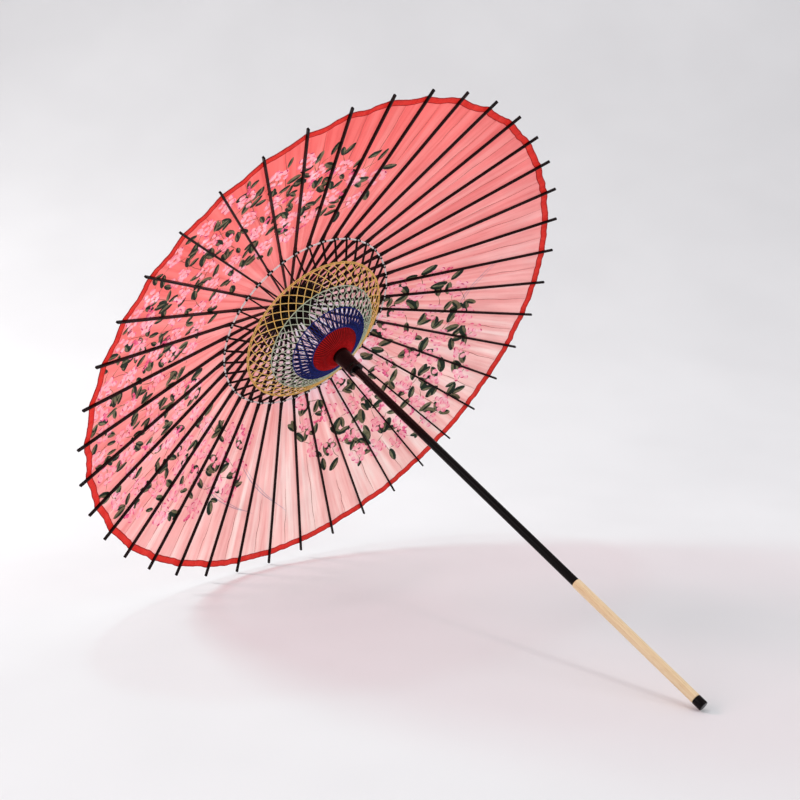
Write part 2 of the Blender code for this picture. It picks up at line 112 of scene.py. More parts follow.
KNUCKLE_HEIGHT = rib_line(KNUCKLE_RADIUS)
ABOVE_LINE = [(place.z - rib_line(place.x)) * math.cos(DROOP) for place in KNUCKLE]
RIB_TOP, KNUCKLE_DEPTH = max(ABOVE_LINE), -min(ABOVE_LINE)
STRUT_RISE = math.atan2(KNUCKLE_HEIGHT - RUNNER_PIVOT_HEIGHT, KNUCKLE_RADIUS - RUNNER_PIVOT_RADIUS)
STRUT_LENGTH = (KNUCKLE_RADIUS - RUNNER_PIVOT_RADIUS) / math.cos(STRUT_RISE)

# ---------------------------------------------------------------- sizes of the visible pieces

SHEET_THICKNESS = 0.00024
SHEET_ROWS, SHEET_COLUMNS = 40, 14
SCALLOP = 0.0013  # how far the edge draws in between two ribs
EDGE_RIPPLE = 0.0016
FOLD_DEPTH = 0.0016  # how far the old fold line hangs in at the rim
WRINKLE_HEIGHT = 0.0010
WRINKLES_PER_PANEL = 4.5
BAND_THICKNESS, BAND_LAP = 0.0006, 0.0006
HEM_RAISE = 0.00028

GAP = 0.0003  # between neighbouring pieces
STRUT_WIDTH, STRUT_DEPTH = 0.0015, 0.0032
STRUT_STATIONS = (  # share of the length, widths and half depths as shares of the strut's own
    (0.00, 1.00, 1.00),
    (0.30, 1.15, 0.92),
    (0.90, 1.25, 1.05),
    (1.00, 1.10, 1.00),
)
FLANGE_DROP = 0.0032  # the runner's flange reaches this far under the strut pivots
SLOT_WIDTH, SLOT_DEPTH = 0.0017, 0.0018  # a hub's slots, which pass the pivots by their depth
CORD_KNOT = (-0.0012, -KNUCKLE_DEPTH - 0.0004)  # along the rib and above its centre line
CORD_PLY, CORD_TURNS = 0.00068, 6
SLEEVE_START, SLEEVE_END, SLEEVE_RADIUS = 0.0021, 0.0046, 0.0016  # dark thread wound on the cord
SLEEVE_TURNS = 7
WRAP_THREAD, WRAP_TURNS = 0.00032, 5
WRAP_BANDS = ((-0.0056, -0.0024), (0.0006, 0.0038))  # along the rib from its knuckle
HINGE_CORD_PLY = 0.0002

LACE_ZONES = (  # colour, inner share, outer share, threads one way, shift in rib steps, thread radius
    ("lace_red", 0.031, 0.0936, 64, 0.15, 0.00042),
    ("lace_navy", 0.0936, 0.151, 80, 0.8, 0.00045),
    ("lace_green", 0.151, 0.214, 40, 2.0, 0.00060),
    ("lace_yellow", 0.214, 0.2797, 40, 2.0, 0.00066),
)
LACE_ROPES = (  # colour, share, ropes side by side
    ("lace_navy", 0.0936, 1),
    ("lace_navy", 0.151, 1),
    ("lace_green", 0.214, 1),
    ("lace_yellow", 0.2797, 2),
)
ROPE_RADIUS, ROPE_TWISTS = 0.00085, 5  # twists for each strut
LACE_DROP = 0.0006  # from the struts and the flange down to the threads

SPRAYS = (  # first and last azimuth in degrees, middle share and its rise, half width and its rise
    (259, 425, 0.58, 0.15, 0.07, 0.17),
    (134, 233, 0.46, 0.145, 0.05, 0.205),
)
SPRAY_LEAVES = (  # gap between leafy twigs, shortest and longest leaf
    (0.0163, 0.015, 0.024),
    (0.0210, 0.018, 0.029),
)
CLUSTER_GAP, CLUSTER_RADIUS = 0.034, 0.0140
LEAFLESS = 0.016  # no leafy twig ends nearer a cluster's middle
PETAL = 0.0092
DEEP_PETALS = 0.30  # share of the petals with a deep edge
TENDRILS = (  # share and azimuth in degrees, from and to
    (0.80, 134, 0.66, 160),
    (0.56, 262, 0.79, 239),
    (0.67, 275, 0.77, 251),
)

# ---------------------------------------------------------------- camera and floor

CAMERA_AZIMUTH, CAMERA_DROP = math.radians(12.76), math.radians(33.73)
CAMERA_DISTANCE = 4.410 * TIP_RADIUS
CAMERA_LENS = 57.8
AIM = Vector((-0.0027, 0.0119, 0.5685))
CONTACT_AZIMUTH = math.radians(248.0)  # where the rim touches the floor


# ================================================================ mesh building

class Bag:
    """Vertices, faces and material indices that end as one mesh."""

    def __init__(self):
        self.verts, self.faces, self.slots = [], [], []

    def add(self, verts, faces, slot=0):
        first = len(self.verts)
        self.verts += [tuple(v) for v in verts]
        self.faces += [tuple(first + i for i in face) for face in faces]
        self.slots += [slot] * len(faces)

    def move(self, place):
        """Moves all of it by a matrix."""
        self.verts = [tuple(place @ Vector(v)) for v in self.verts]

    def mesh(self, name, materials, sharp=40):
        mesh = bpy.data.meshes.new(name)
        mesh.from_pydata(self.verts, [], self.faces)
        for material in materials:
            mesh.materials.append(material)
        mesh.polygons.foreach_set("material_index", self.slots)
        mesh.validate()
        mesh.shade_smooth()
        mesh.set_sharp_from_angle(angle=math.radians(sharp))
        return mesh


def put(name, mesh, body, slot, *nodes):
    """Adds a piece that rides on a body and stands for CAD nodes, which it hides; its slot is not used."""
    obj = bpy.data.objects.new(name, mesh)
    bpy.context.scene.collection.objects.link(obj)
    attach(obj, body)
    if nodes:
        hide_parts(*nodes)
    return obj


def polar(radius, azimuth, height=0.0):
    return Vector((radius * math.cos(azimuth), radius * math.sin(azimuth), height))


def turn(azimuth):
    return Matrix.Rotation(azimuth, 4, "Z")


def rings_of_faces(size, count, closed=False):
    """Outward quads and end caps of rings of points that run anticlockwise about the way they follow."""
    faces = []
    for r in range(count if closed else count - 1):
        a, b = r * size, (r + 1) % count * size
        for s in range(size):
            t = (s + 1) % size
            faces.append((a + t, b + t, b + s, a + s))
    if not closed:
        last = (count - 1) * size
        faces += [tuple(range(size))[::-1], tuple(last + s for s in range(size))]
    return faces


def tube(bag, path, radius, sides=5, slot=0, closed=False):
    """A round tube along a path."""
    count = len(path)
    normal = None
    verts = []
    for n, place in enumerate(path):
        before = path[n - 1] if n or closed else place
        after = path[(n + 1) % count] if n < count - 1 or closed else place
        along = (after - before).normalized()
        if normal is None:
            normal = along.cross(Vector((0, 0, 1)) if abs(along.z) < 0.9 else Vector((1, 0, 0)))
        normal = (normal - along * normal.dot(along)).normalized()
        side = along.cross(normal)
        for s in range(sides):
            a = 2 * math.pi * s / sides
            verts.append(place + radius * (math.cos(a) * normal + math.sin(a) * side))
    bag.add(verts, rings_of_faces(sides, count, closed), slot)


def helix(bag, centre, outward, radius, wire, turns, steps, start=0.0, sides=5, slot=0, closed=False):
    """Thread wound round a path. centre and outward give the path and its side for a share from 0 to 1."""
    count = turns * steps
    path = []
    for k in range(count if closed else count + 1):
        a = start + 2 * math.pi * turns * k / count
        share = k / count
        side = math.cos(a) * outward(share) + math.sin(a) * Vector((0, 0, 1))
        path.append(centre(share) + radius * side)
    tube(bag, path, wire, sides, slot, closed)


def add_shell(bag, low, high, faces, slots, edge_slot=0):
    """A closed shell between two sheets of points that share their faces, which run anticlockwise."""
    count = len(low)
    first = len(bag.verts)
    edges = {}
    for face, slot in zip(faces, slots):
        bag.faces += [tuple(first + count + v for v in face), tuple(first + v for v in face[::-1])]
        bag.slots += [slot] * 2
        for edge in zip(face, face[1:] + face[:1]):
            edges[edge] = True
    for a, b in edges:
        if (b, a) not in edges:
            bag.faces.append((first + a, first + b, first + b + count, first + a + count))
            bag.slots.append(edge_slot)
    bag.verts += [tuple(v) for v in low + high]


BAR_CORNER = 0.3  # a bar's corner radius as a share of its thinner side


def rounded_section(width, depth):
    """Points (side, height) round a bar's section, with rounded corners."""
    radius = BAR_CORNER * min(width, depth)
    points = []
    for side, up, start in ((1, 1, 0), (-1, 1, 90), (-1, -1, 180), (1, -1, 270)):
        y, z = side * (width / 2 - radius), up * (depth / 2 - radius)
        points += arc(y, z, radius, start, start + 90, 3)
    return points


def bar(bag, stations, place):
    """A bar along local X through stations of (along, width, depth, lean), moved by a matrix."""
    verts = []
    for along, width, depth, lean in stations:
        for y, z in rounded_section(width, depth):
            verts.append(place @ Vector((along + lean * z, y, z)))
    bag.add(verts, rings_of_faces(len(verts) // len(stations), len(stations)))


SHARP_TURNED = math.radians(35)


def turned(node, profile, material, steps=72, closed=False):
    """A mesh turned about the shaft from (radius, height) points: from axis to axis, or a closed ring."""
    bm = bmesh.new()
    verts = [bm.verts.new((radius, 0, height)) for radius, height in profile]
    pairs = list(zip(verts, verts[1:])) + ([(verts[-1], verts[0])] if closed else [])
    edges = [bm.edges.new(pair) for pair in pairs]
    bmesh.ops.spin(bm, geom=verts + edges, cent=(0, 0, 0), axis=(0, 0, 1), angle=2 * math.pi,
                   steps=steps, use_merge=True)
    bmesh.ops.remove_doubles(bm, verts=bm.verts, dist=1e-6)
    bmesh.ops.recalc_face_normals(bm, faces=bm.faces)
    mesh = bpy.data.meshes.new(node + "_turned")
    bm.to_mesh(mesh)
    bm.free()
    mesh.materials.append(material)
    mesh.shade_smooth()
    mesh.set_sharp_from_angle(angle=SHARP_TURNED)
    return mesh


def arc(radius, height, size, start, end, steps=5):
    """Points (radius, height) along a rounding of a turned profile, angles in degrees."""
    angles = [math.radians(start + (end - start) * n / steps) for n in range(steps + 1)]
    return [(radius + size * math.cos(a), height + size * math.sin(a)) for a in angles]


def with_boxes_cut(mesh, boxes):
    """The mesh with boxes cut from it; each box is (low corner, high corner, matrix)."""
    bm = bmesh.new()
    for low, high, place in boxes:
        centre = (Vector(low) + Vector(high)) / 2
        size = Vector(high) - Vector(low)
        box = Matrix.Translation(centre) @ Matrix.Diagonal((*size, 1))
        bmesh.ops.create_cube(bm, size=1, matrix=place @ box)
    tool_mesh = bpy.data.meshes.new("cutter")
    bm.to_mesh(tool_mesh)
    bm.free()
    tool = bpy.data.objects.new("cutter", tool_mesh)
    work = bpy.data.objects.new("work", mesh)
    for obj in (tool, work):
        bpy.context.scene.collection.objects.link(obj)
    cut = work.modifiers.new("cut", "BOOLEAN")
    cut.operation, cut.solver, cut.object = "DIFFERENCE", "EXACT", tool
    bpy.context.view_layer.update()
    made = bpy.data.meshes.new_from_object(work.evaluated_get(bpy.context.evaluated_depsgraph_get()))
    made.name = mesh.name
    for obj in (tool, work):
        bpy.data.objects.remove(obj, do_unlink=True)
    made.set_sharp_from_angle(angle=SHARP_TURNED)
    return made


def put_turned(node, mesh, body="frame", slot="black_lacquer", boxes=()):
    """Adds a turned piece, with boxes cut from it, that stands for its CAD node."""
    put(mesh.name, with_boxes_cut(mesh, boxes) if boxes else mesh, body, slot, node)


# ================================================================ materials

class Tree:
    """A Principled material with short calls for the nodes used here."""

    def __init__(self, name, roughness=0.5, **inputs):
        self.material = bpy.data.materials.new(name)
        self.material.use_nodes = True
        self.nodes, self.links = self.material.node_tree.nodes, self.material.node_tree.links
        self.shader, self.output = self.nodes["Principled BSDF"], self.nodes["Material Output"]
        self.feed(self.shader.inputs["Roughness"], roughness)
        for socket, value in inputs.items():
            self.feed(self.shader.inputs[socket.replace("_", " ")], value)
        self.place = self.node("TexCoord").outputs["Object"]

    def node(self, kind, **settings):
        made = self.nodes.new("ShaderNode" + kind)
        for setting, value in settings.items():
            setattr(made, setting, value)
        return made

    def feed(self, socket, value):
        if isinstance(value, bpy.types.NodeSocket):
            self.links.new(value, socket)
        elif isinstance(value, (tuple, list)) and len(value) == 3 and socket.type == "RGBA":
            socket.default_value = (*value, 1.0)
        else:
            socket.default_value = value

    def math(self, operation, a, b=0.0):
        made = self.node("Math", operation=operation)
        self.feed(made.inputs[0], a)
        self.feed(made.inputs[1], b)
        return made.outputs[0]

    def noise(self, vector, scale, detail=3.0, roughness=0.55):
        made = self.node("TexNoise")
        self.feed(made.inputs["Vector"], vector)
        for socket, value in (("Scale", scale), ("Detail", detail), ("Roughness", roughness)):
            self.feed(made.inputs[socket], value)
        return made.outputs["Fac"]

    def grain(self, x, y, z, detail, roughness=0.55, vector=None):
        """Noise with its own fineness along each axis."""
        stretched = self.node("VectorMath", operation="MULTIPLY")
        self.feed(stretched.inputs[0], self.place if vector is None else vector)
        self.feed(stretched.inputs[1], (x, y, z))
        return self.noise(stretched.outputs[0], 1.0, detail, roughness)

    def ramp(self, factor, *stops):
        """Stops are (position, value) with a value as grey or as a colour."""
        made = self.node("ValToRGB")
        self.feed(made.inputs["Fac"], factor)
        elements = made.color_ramp.elements
        while len(elements) < len(stops):
            elements.new(0.5)
        for element, (position, value) in zip(elements, stops):
            element.position = position
            element.color = (*value, 1.0) if isinstance(value, tuple) else (value, value, value, 1.0)
        return made.outputs["Color"]

    def mix(self, factor, a, b, blend="MIX"):
        made = self.node("Mix", data_type="RGBA", blend_type=blend)
        self.feed(made.inputs[0], factor)
        self.feed(made.inputs[6], a)
        self.feed(made.inputs[7], b)
        return made.outputs[2]

    def times(self, *colours):
        """The product of colours."""
        product = colours[0]
        for colour in colours[1:]:
            product = self.mix(1.0, product, colour, "MULTIPLY")
        return product

    def bump(self, height, distance, strength, normal=None):
        made = self.node("Bump")
        self.feed(made.inputs["Height"], height)
        self.feed(made.inputs["Distance"], distance)
        self.feed(made.inputs["Strength"], strength)
        if normal is not None:
            self.feed(made.inputs["Normal"], normal)
        return made.outputs["Normal"]

    def length(self, x, y):
        return self.math("SQRT", self.math("ADD", self.math("MULTIPLY", x, x), self.math("MULTIPLY", y, y)))

    def polar_place(self):
        """A vector of azimuth, plan radius and height, for patterns that run along the ribs, and x and y."""
        split = self.node("SeparateXYZ")
        self.feed(split.inputs[0], self.place)
        x, y, z = split.outputs
        joined = self.node("CombineXYZ")
        for socket, value in zip(joined.inputs, (self.math("ARCTAN2", y, x), self.length(x, y), z)):
            self.feed(socket, value)
        return joined.outputs[0], x, y

    def set(self, colour, roughness=None, normal=None):
        """Feeds the Principled shader and returns the material."""
        for socket, value in (("Base Color", colour), ("Roughness", roughness), ("Normal", normal)):
            if value is not None:
                self.feed(self.shader.inputs[socket], value)
        return self.material

    def mix_shaders(self, factor, first, second):
        """Shows a mix of two shader nodes, which it returns."""
        made = self.node("MixShader")
        for socket, value in zip(made.inputs, (factor, first.outputs[0], second.outputs[0])):
            self.feed(socket, value)
        self.feed(self.output.inputs["Surface"], made.outputs[0])
        return made

    def lit_from_behind(self, colour, share, shadow):
        """Lets light through: a share scatters through, and lamps pass with the shadow's colour."""
        through, clear = self.node("BsdfTranslucent"), self.node("BsdfTransparent")
        self.feed(through.inputs["Color"], colour)
        self.feed(clear.inputs["Color"], shadow)
        body = self.mix_shaders(share, self.shader, through)
        self.mix_shaders(self.node("LightPath").outputs["Is Shadow Ray"], body, clear)


def lacquer():
    """Glossy black lacquer: brushed on, with faint flow marks and a few dull rubbed patches."""
    tree = Tree("black_lacquer", Specular_IOR_Level=0.13)
    rubbed = tree.grain(90, 90, 14, 5.0, 0.65)
    flow = tree.grain(500, 500, 40, 2.0)
    return tree.set(
        tree.ramp(rubbed, (0.35, (0.0020, 0.0006, 0.0007)), (0.75, (0.007, 0.0022, 0.0026))),
        tree.ramp(rubbed, (0.35, 0.14), (0.75, 0.30)),
        tree.bump(flow, 0.00008, 0.5),
    )


def rib_bamboo():
    """Split bamboo under thin dark maroon lacquer: fibres run along the rib and show as fine streaks."""
    tree = Tree("dark_rib", Specular_IOR_Level=0.09)
    along_ribs, _, _ = tree.polar_place()
    fibres = tree.grain(2600, 45, 900, 3.0, 0.7, along_ribs)
    patches = tree.grain(30, 26, 20, 2.0, vector=along_ribs)
    tone = tree.ramp(fibres, (0.3, (0.0020, 0.0004, 0.0005)), (0.7, (0.010, 0.002, 0.0024)))
    worn = tree.ramp(patches, (0.5, (1, 1, 1)), (0.85, (2.2, 1.7, 1.5)))
    return tree.set(
        tree.times(tone, worn),
        tree.ramp(fibres, (0.3, 0.5), (0.7, 0.32)),
        tree.bump(fibres, 0.0001, 0.6),
    )


def pale_wood():
    """Bare sanded wood: straight grain along the handle, fine pores and slightly darker late wood."""
    tree = Tree("pale_wood", Coat_Weight=0.12, Coat_Roughness=0.4)
    grain = tree.grain(420, 420, 6, 4.0, 0.6)
    pores = tree.grain(2400, 2400, 70, 2.0, 0.5)
    base = tree.ramp(tree.grain(120, 120, 2, 2.0), (0.3, (0.90, 0.68, 0.41)), (0.7, (0.94, 0.75, 0.49)))
    late = tree.ramp(grain, (0.42, (0.90, 0.83, 0.76)), (0.62, (1, 1, 1)))
    dots = tree.ramp(pores, (0.33, (0.80, 0.72, 0.62)), (0.42, (1, 1, 1)))
    return tree.set(
        tree.times(base, late, dots),
        tree.ramp(grain, (0.3, 0.55), (0.7, 0.4)),
        tree.bump(pores, 0.00005, 0.7),
    )


def sheet_surface(tree, colour, share, shadow):
    """Finishes a thin sheet: fibres, fine radial wrinkles with painted shade in their creases, broad folds
    with painted light and shade, and light that comes through.
    """
    along_ribs, _, _ = tree.polar_place()
    fibres = tree.grain(900, 900, 900, 3.0, 0.7)
    clouds = tree.grain(22, 22, 22, 3.0)
    bent = tree.mix(0.004, along_ribs, tree.grain(12, 12, 12, 1.0))
    creases = tree.grain(9 / RIB_STEP, 9, 0, 4.0, 0.6, bent)
    folds = tree.grain(3.2 / RIB_STEP, 5, 3, 1.5, 0.5, bent)
    mottled = tree.ramp(clouds, (0.3, 0.93), (0.7, 1.0))
    fibrous = tree.ramp(fibres, (0.3, 0.94), (0.7, 1.0))
    # painted shade darkens the fine wrinkles' creases, and painted light and shade lie in broad bands along
    # the folds
    painted_crease_shade = tree.ramp(creases, (0.30, (0.90, 0.74, 0.74)), (0.50, (0.98, 0.95, 0.95)), (0.62, (1, 1, 1)))
    painted_fold_light_and_shade = tree.ramp(folds, (0.34, (0.96, 0.84, 0.84)), (0.52, (1, 0.97, 0.97)), (0.64, (1, 1.12, 1.12)))
    painted_fold_shading = tree.times(colour, mottled, fibrous, painted_crease_shade, painted_fold_light_and_shade)
    ridges = tree.bump(creases, 0.0012, 0.6)
    tree.set(painted_fold_shading, tree.ramp(fibres, (0.3, 0.62), (0.7, 0.5)), tree.bump(fibres, 0.00006, 0.5, ridges))
    tree.feed(tree.shader.inputs["Specular IOR Level"], 0.25)
    tree.lit_from_behind(painted_fold_shading, share, shadow)
    return tree.material


# the way the sheet's painted light runs: it is coral towards this azimuth, where light shines through most
PAINTED_LIGHT_AZIMUTH = math.radians(35)
PALE_SHARE, PALE_AZIMUTH = 0.2, math.radians(200)  # the middle of the patch that took hardly any dye
# the sheet's own pink with painted light: coral where light shines through most, paling to peach on the
# other side
COVER_DYE_AND_LIGHT = (  # place across the umbrella, colour
    (0.05, (0.96, 0.755, 0.72)),
    (0.27, (0.95, 0.69, 0.665)),
    (0.42, (0.94, 0.56, 0.545)),
    (0.63, (0.91, 0.42, 0.41)),
    (0.95, (0.88, 0.26, 0.245)),
)
COVER_CENTRE = (0.92, 0.86, 0.93)
FOLD_LIGHT_AND_SHADE = (  # place from rib to rib, tint: painted light on one side of the old fold and painted shade on the other
    (0.30, (1, 1, 1)),
    (0.53, (1, 1.10, 1.09)),
    (0.575, (0.95, 0.86, 0.86)),
    (0.80, (1, 1, 1)),
)


def cover_sheet():
    """The sheet: its own pink with painted light, coral on one side of the umbrella and paling to peach on
    the other, and paling to the centre; each old fold has painted light on one side and painted shade on the
    other.
    """
    tree = Tree("cover")
    _, x, y = tree.polar_place()
    across = tree.math("ADD", tree.math("MULTIPLY", x, math.cos(PAINTED_LIGHT_AZIMUTH)),
                       tree.math("MULTIPLY", y, math.sin(PAINTED_LIGHT_AZIMUTH)))
    depth = tree.math("ADD", tree.math("MULTIPLY", across, 0.5 / TIP_RADIUS), 0.5)
    # painted light: the pink turns coral towards the side where light shines through most
    toned = tree.ramp(depth, *COVER_DYE_AND_LIGHT)
    pale_x, pale_y, _ = polar(PALE_SHARE * TIP_RADIUS, PALE_AZIMUTH)
    apart = tree.length(tree.math("SUBTRACT", x, pale_x), tree.math("SUBTRACT", y, pale_y))
    pale = tree.ramp(tree.math("DIVIDE", apart, TIP_RADIUS), (0.14, 1.0), (0.30, 0.0))
    panels = tree.math("MULTIPLY", tree.math("ARCTAN2", y, x), 1 / RIB_STEP)
    sway = tree.math("MULTIPLY", tree.grain(14, 14, 14, 2.0), 0.16)
    phase = tree.math("FRACT", tree.math("ADD", panels, sway))
    # painted light and painted shade on the two sides of each panel's old fold
    painted_fold_shading = tree.ramp(phase, *FOLD_LIGHT_AND_SHADE)
    uneven = tree.ramp(tree.grain(9, 9, 9, 1.0), (0.35, 0.25), (0.65, 1.0))
    colour = tree.mix(uneven, tree.mix(pale, toned, COVER_CENTRE), painted_fold_shading, "MULTIPLY")
    return sheet_surface(tree, colour, 0.62, (0.895, 0.73, 0.745))


def paint(name, colour, second, share=0.5, shadow=(0.75, 0.5, 0.5)):
    """Paint on the sheet, uneven as a brush leaves it, that lets some light through."""
    tree = Tree(name)
    brush = tree.grain(160, 160, 160, 3.0, 0.6)
    return sheet_surface(tree, tree.ramp(brush, (0.3, colour), (0.7, second)), share, shadow)


def thread(name, colour, light, glow=0.35):
    """Matte twisted thread: a fine diagonal ply and uneven dye."""
    tree = Tree(name, 0.7, Specular_IOR_Level=0.15)
    ply = tree.node("TexWave", wave_type="BANDS", bands_direction="DIAGONAL")
    tree.feed(ply.inputs["Vector"], tree.place)
    for socket, value in (("Scale", 900.0), ("Distortion", 2.0), ("Detail", 2.0)):
        tree.feed(ply.inputs[socket], value)
    uneven = tree.noise(tree.place, 260.0, 3.0)
    toned = tree.mix(tree.ramp(uneven, (0.3, 0.0), (0.7, 1.0)), colour, light)
    shaded = tree.times(toned, tree.ramp(ply.outputs["Fac"], (0.0, 0.85), (0.6, 1.0)))
    tree.set(shaded, None, tree.bump(ply.outputs["Fac"], 0.0001, 0.7))
    tree.lit_from_behind(shaded, glow, (0.15, 0.15, 0.15))
    return tree.material


def brushed_steel():
    """Bright spring steel with fine scratches along the leaf."""
    tree = Tree("spring_steel", Metallic=1.0)
    scratches = tree.grain(3000, 3000, 120, 3.0, 0.7)
    return tree.set(
        tree.ramp(scratches, (0.3, (0.46, 0.45, 0.43)), (0.7, (0.66, 0.64, 0.60))),
        tree.ramp(scratches, (0.3, 0.42), (0.7, 0.26)),
        tree.bump(scratches, 0.00004, 0.5),
    )


PAINTS = (  # what covers the sheet, later over earlier
    "cover", "patch", "crease", "tendril", "twig", "leaf", "leaf_light", "petal", "blush", "petal_edge",
)
PATCH_RADIUS = 0.039  # the black patch that backs the sheet round the hub


def make_materials():
    """Every material by name."""
    return {
        "lacquer": lacquer(),
        "rib": rib_bamboo(),
        "wood": pale_wood(),
        "steel": brushed_steel(),
        "cover": cover_sheet(),
        "twig": paint("twig", (0.13, 0.10, 0.035), (0.30, 0.20, 0.08)),
        "leaf": paint("leaf", (0.009, 0.027, 0.017), (0.034, 0.066, 0.042), 0.4),
        "leaf_light": paint("leaf_light", (0.13, 0.15, 0.08), (0.32, 0.31, 0.19), 0.45),
        "petal": paint("petal", (0.94, 0.51, 0.575), (0.97, 0.65, 0.69), 0.60, (0.9, 0.7, 0.75)),
        "blush": paint("blush", (0.85, 0.19, 0.37), (0.90, 0.31, 0.47), 0.55, (0.9, 0.5, 0.6)),
        "petal_edge": paint("petal_edge", (0.60, 0.03, 0.20), (0.74, 0.11, 0.30), 0.5, (0.8, 0.4, 0.5)),
        "patch": paint("patch", (0.006, 0.003, 0.004), (0.016, 0.009, 0.010), 0.1, (0.05, 0.04, 0.04)),
        "tendril": paint("tendril", (0.42, 0.38, 0.50), (0.55, 0.50, 0.60)),
        "crease": paint("crease", (0.24, 0.07, 0.05), (0.42, 0.16, 0.12), 0.4),
        "band": paint("red_band", (0.76, 0.055, 0.045), (0.82, 0.085, 0.06), 0.5, (0.8, 0.3, 0.3)),
        "hem": paint("red_hem", (0.42, 0.012, 0.014), (0.5, 0.02, 0.02), 0.3, (0.6, 0.2, 0.2)),
        "white_cord": thread("white_cord", (0.97, 0.97, 0.96), (1.0, 1.0, 1.0), 0.45),
        "dark_cord": thread("dark_cord", (0.004, 0.0015, 0.0015), (0.012, 0.004, 0.004), 0.1),
        "lace_red": thread("lace_red", (0.50, 0.003, 0.005), (0.70, 0.009, 0.012), 0.15),
        # painted shade: a dark copy of the red thread for the shade between the red threads
        "lace_red_shade": thread("lace_red_shade", (0.12, 0.0005, 0.001), (0.20, 0.001, 0.002), 0.1),
        "lace_navy": thread("lace_navy", (0.008, 0.018, 0.16), (0.022, 0.045, 0.30), 0.25),
        "lace_green": thread("lace_green", (0.62, 0.72, 0.54), (0.78, 0.86, 0.68)),
        "lace_yellow": thread("lace_yellow", (0.99, 0.70, 0.20), (1.0, 0.84, 0.37), 0.45),
    }


# ================================================================ the sheet's shape

def panel_place(azimuth):
    """How far an azimuth is from its nearest rib, as 0 on the rib to 1 on the fold between two ribs."""
    steps = azimuth / RIB_STEP
    return abs(steps - round(steps)) * 2


def chord_factor(azimuth):
    """A straight edge between two ribs is this much nearer the shaft than a round one."""
    return math.cos(HALF_STEP) / math.cos(HALF_STEP * (1 - panel_place(azimuth)))


def edge_radius(rib_radius, azimuth):
    """The plan radius of the sheet's edge: straight between ribs, and drawn in as the cloth pulls."""
    from_rib = panel_place(azimuth)
    lazy = 1 + 1.3 * noise.noise((3 * polar(1, azimuth) + Vector((0, 0, 7))) * 2.2)
    ripple = EDGE_RIPPLE * noise.noise(26 * polar(1, azimuth)) * min(1, 3 * from_rib)
    return rib_radius * chord_factor(azimuth) - SCALLOP * lazy * (1 - (1 - from_rib) ** 2) + ripple


def sheet_height(radius, azimuth):
    """The height of the sheet's middle surface: flat at the ribs, folded and wrinkled where it is free."""
    from_rib = panel_place(azimuth)
    along = radius / chord_factor(azimuth)
    low = COVER_LOW + (COVER_OUTER - along) * math.tan(DROOP)
    share = min(1.0, radius / TIP_RADIUS)
    fold = FOLD_DEPTH * share * from_rib ** 1.6
    where = polar(WRINKLES_PER_PANEL / RIB_STEP, azimuth, 5 * radius / TIP_RADIUS)
    free = min(1.0, 2.5 * from_rib)
    wrinkle = WRINKLE_HEIGHT * share * free * (noise.noise(where) + 0.5 * noise.noise(where * 2.3))
    return low + SHEET_THICKNESS - fold + wrinkle


# ================================================================ the painted sprays

def anticlockwise(points):
    """The outline as it is or turned round, so that it runs anticlockwise."""
    area = sum(a.x * b.y - b.x * a.y for a, b in zip(points, points[1:] + points[:1]))
    return points if area > 0 else points[::-1]


def inside(outline, place):
    """Whether a place lies inside an outline, by counting the sides that cross a ray from it."""
    crossed = False
    for a, b in zip(outline, outline[1:] + outline[:1]):
        if (a.y > place.y) != (b.y > place.y):
            crossed ^= place.x < a.x + (place.y - a.y) * (b.x - a.x) / (b.y - a.y)
    return crossed


class Mark:
    """A painted patch in plan: its outline and which paint it is."""

    def __init__(self, paint_name, points):
        self.paint, self.points = PAINTS.index(paint_name), anticlockwise(points)
        self.middle = sum(points, Vector((0, 0))) / len(points)
        self.reach = max((p - self.middle).length for p in points)


def flat_turn(vector, angle):
    return Matrix.Rotation(angle, 2) @ vector


def heading(angle, length):
    return Vector((length * math.cos(angle), length * math.sin(angle)))


def oval(middle, length, width, angle, count=10, sharpness=1.0):
    """An oval outline; more sharpness makes its ends pointed."""
    points = []
    for n in range(count):
        a = 2 * math.pi * n / count
        across = math.copysign(abs(math.sin(a)) ** sharpness, math.sin(a))
        points.append(middle + flat_turn(Vector((length / 2 * math.cos(a), width / 2 * across)), angle))
    return points


def crescent(middle, radius, angle, spread, thickness):
    """A brushed arc, thick in its middle and pointed at its ends."""
    steps = 5
    outer, inner = [], []
    for n in range(steps + 1):
        t = n / steps
        a = angle + spread * (t - 0.5)
        outer.append(middle + heading(a, radius))
        if 0 < n < steps:
            inner.append(middle + heading(a, radius - thickness * math.sin(math.pi * t)))
    return outer + inner[::-1]


def stroke(path, width, taper=0.3):
    """A brush stroke along a path, narrower at its ends."""
    left, right = [], []
    for n, place in enumerate(path):
        along = (path[min(n + 1, len(path) - 1)] - path[max(n - 1, 0)]).normalized()
        side = Vector((-along.y, along.x))
        t = n / (len(path) - 1)
        half = width / 2 * (taper + (1 - taper) * math.sin(math.pi * t))
        left.append(place + side * half)
        right.append(place - side * half)
    return left + right[::-1]


def bowed(start, end, bow, steps=5):
    """A curved path from start to end that bows out to one side by a share of its length."""
    across = end - start
    side = Vector((-across.y, across.x)) * bow
    return [start + across * (n / steps) + side * math.sin(math.pi * n / steps) for n in range(steps + 1)]


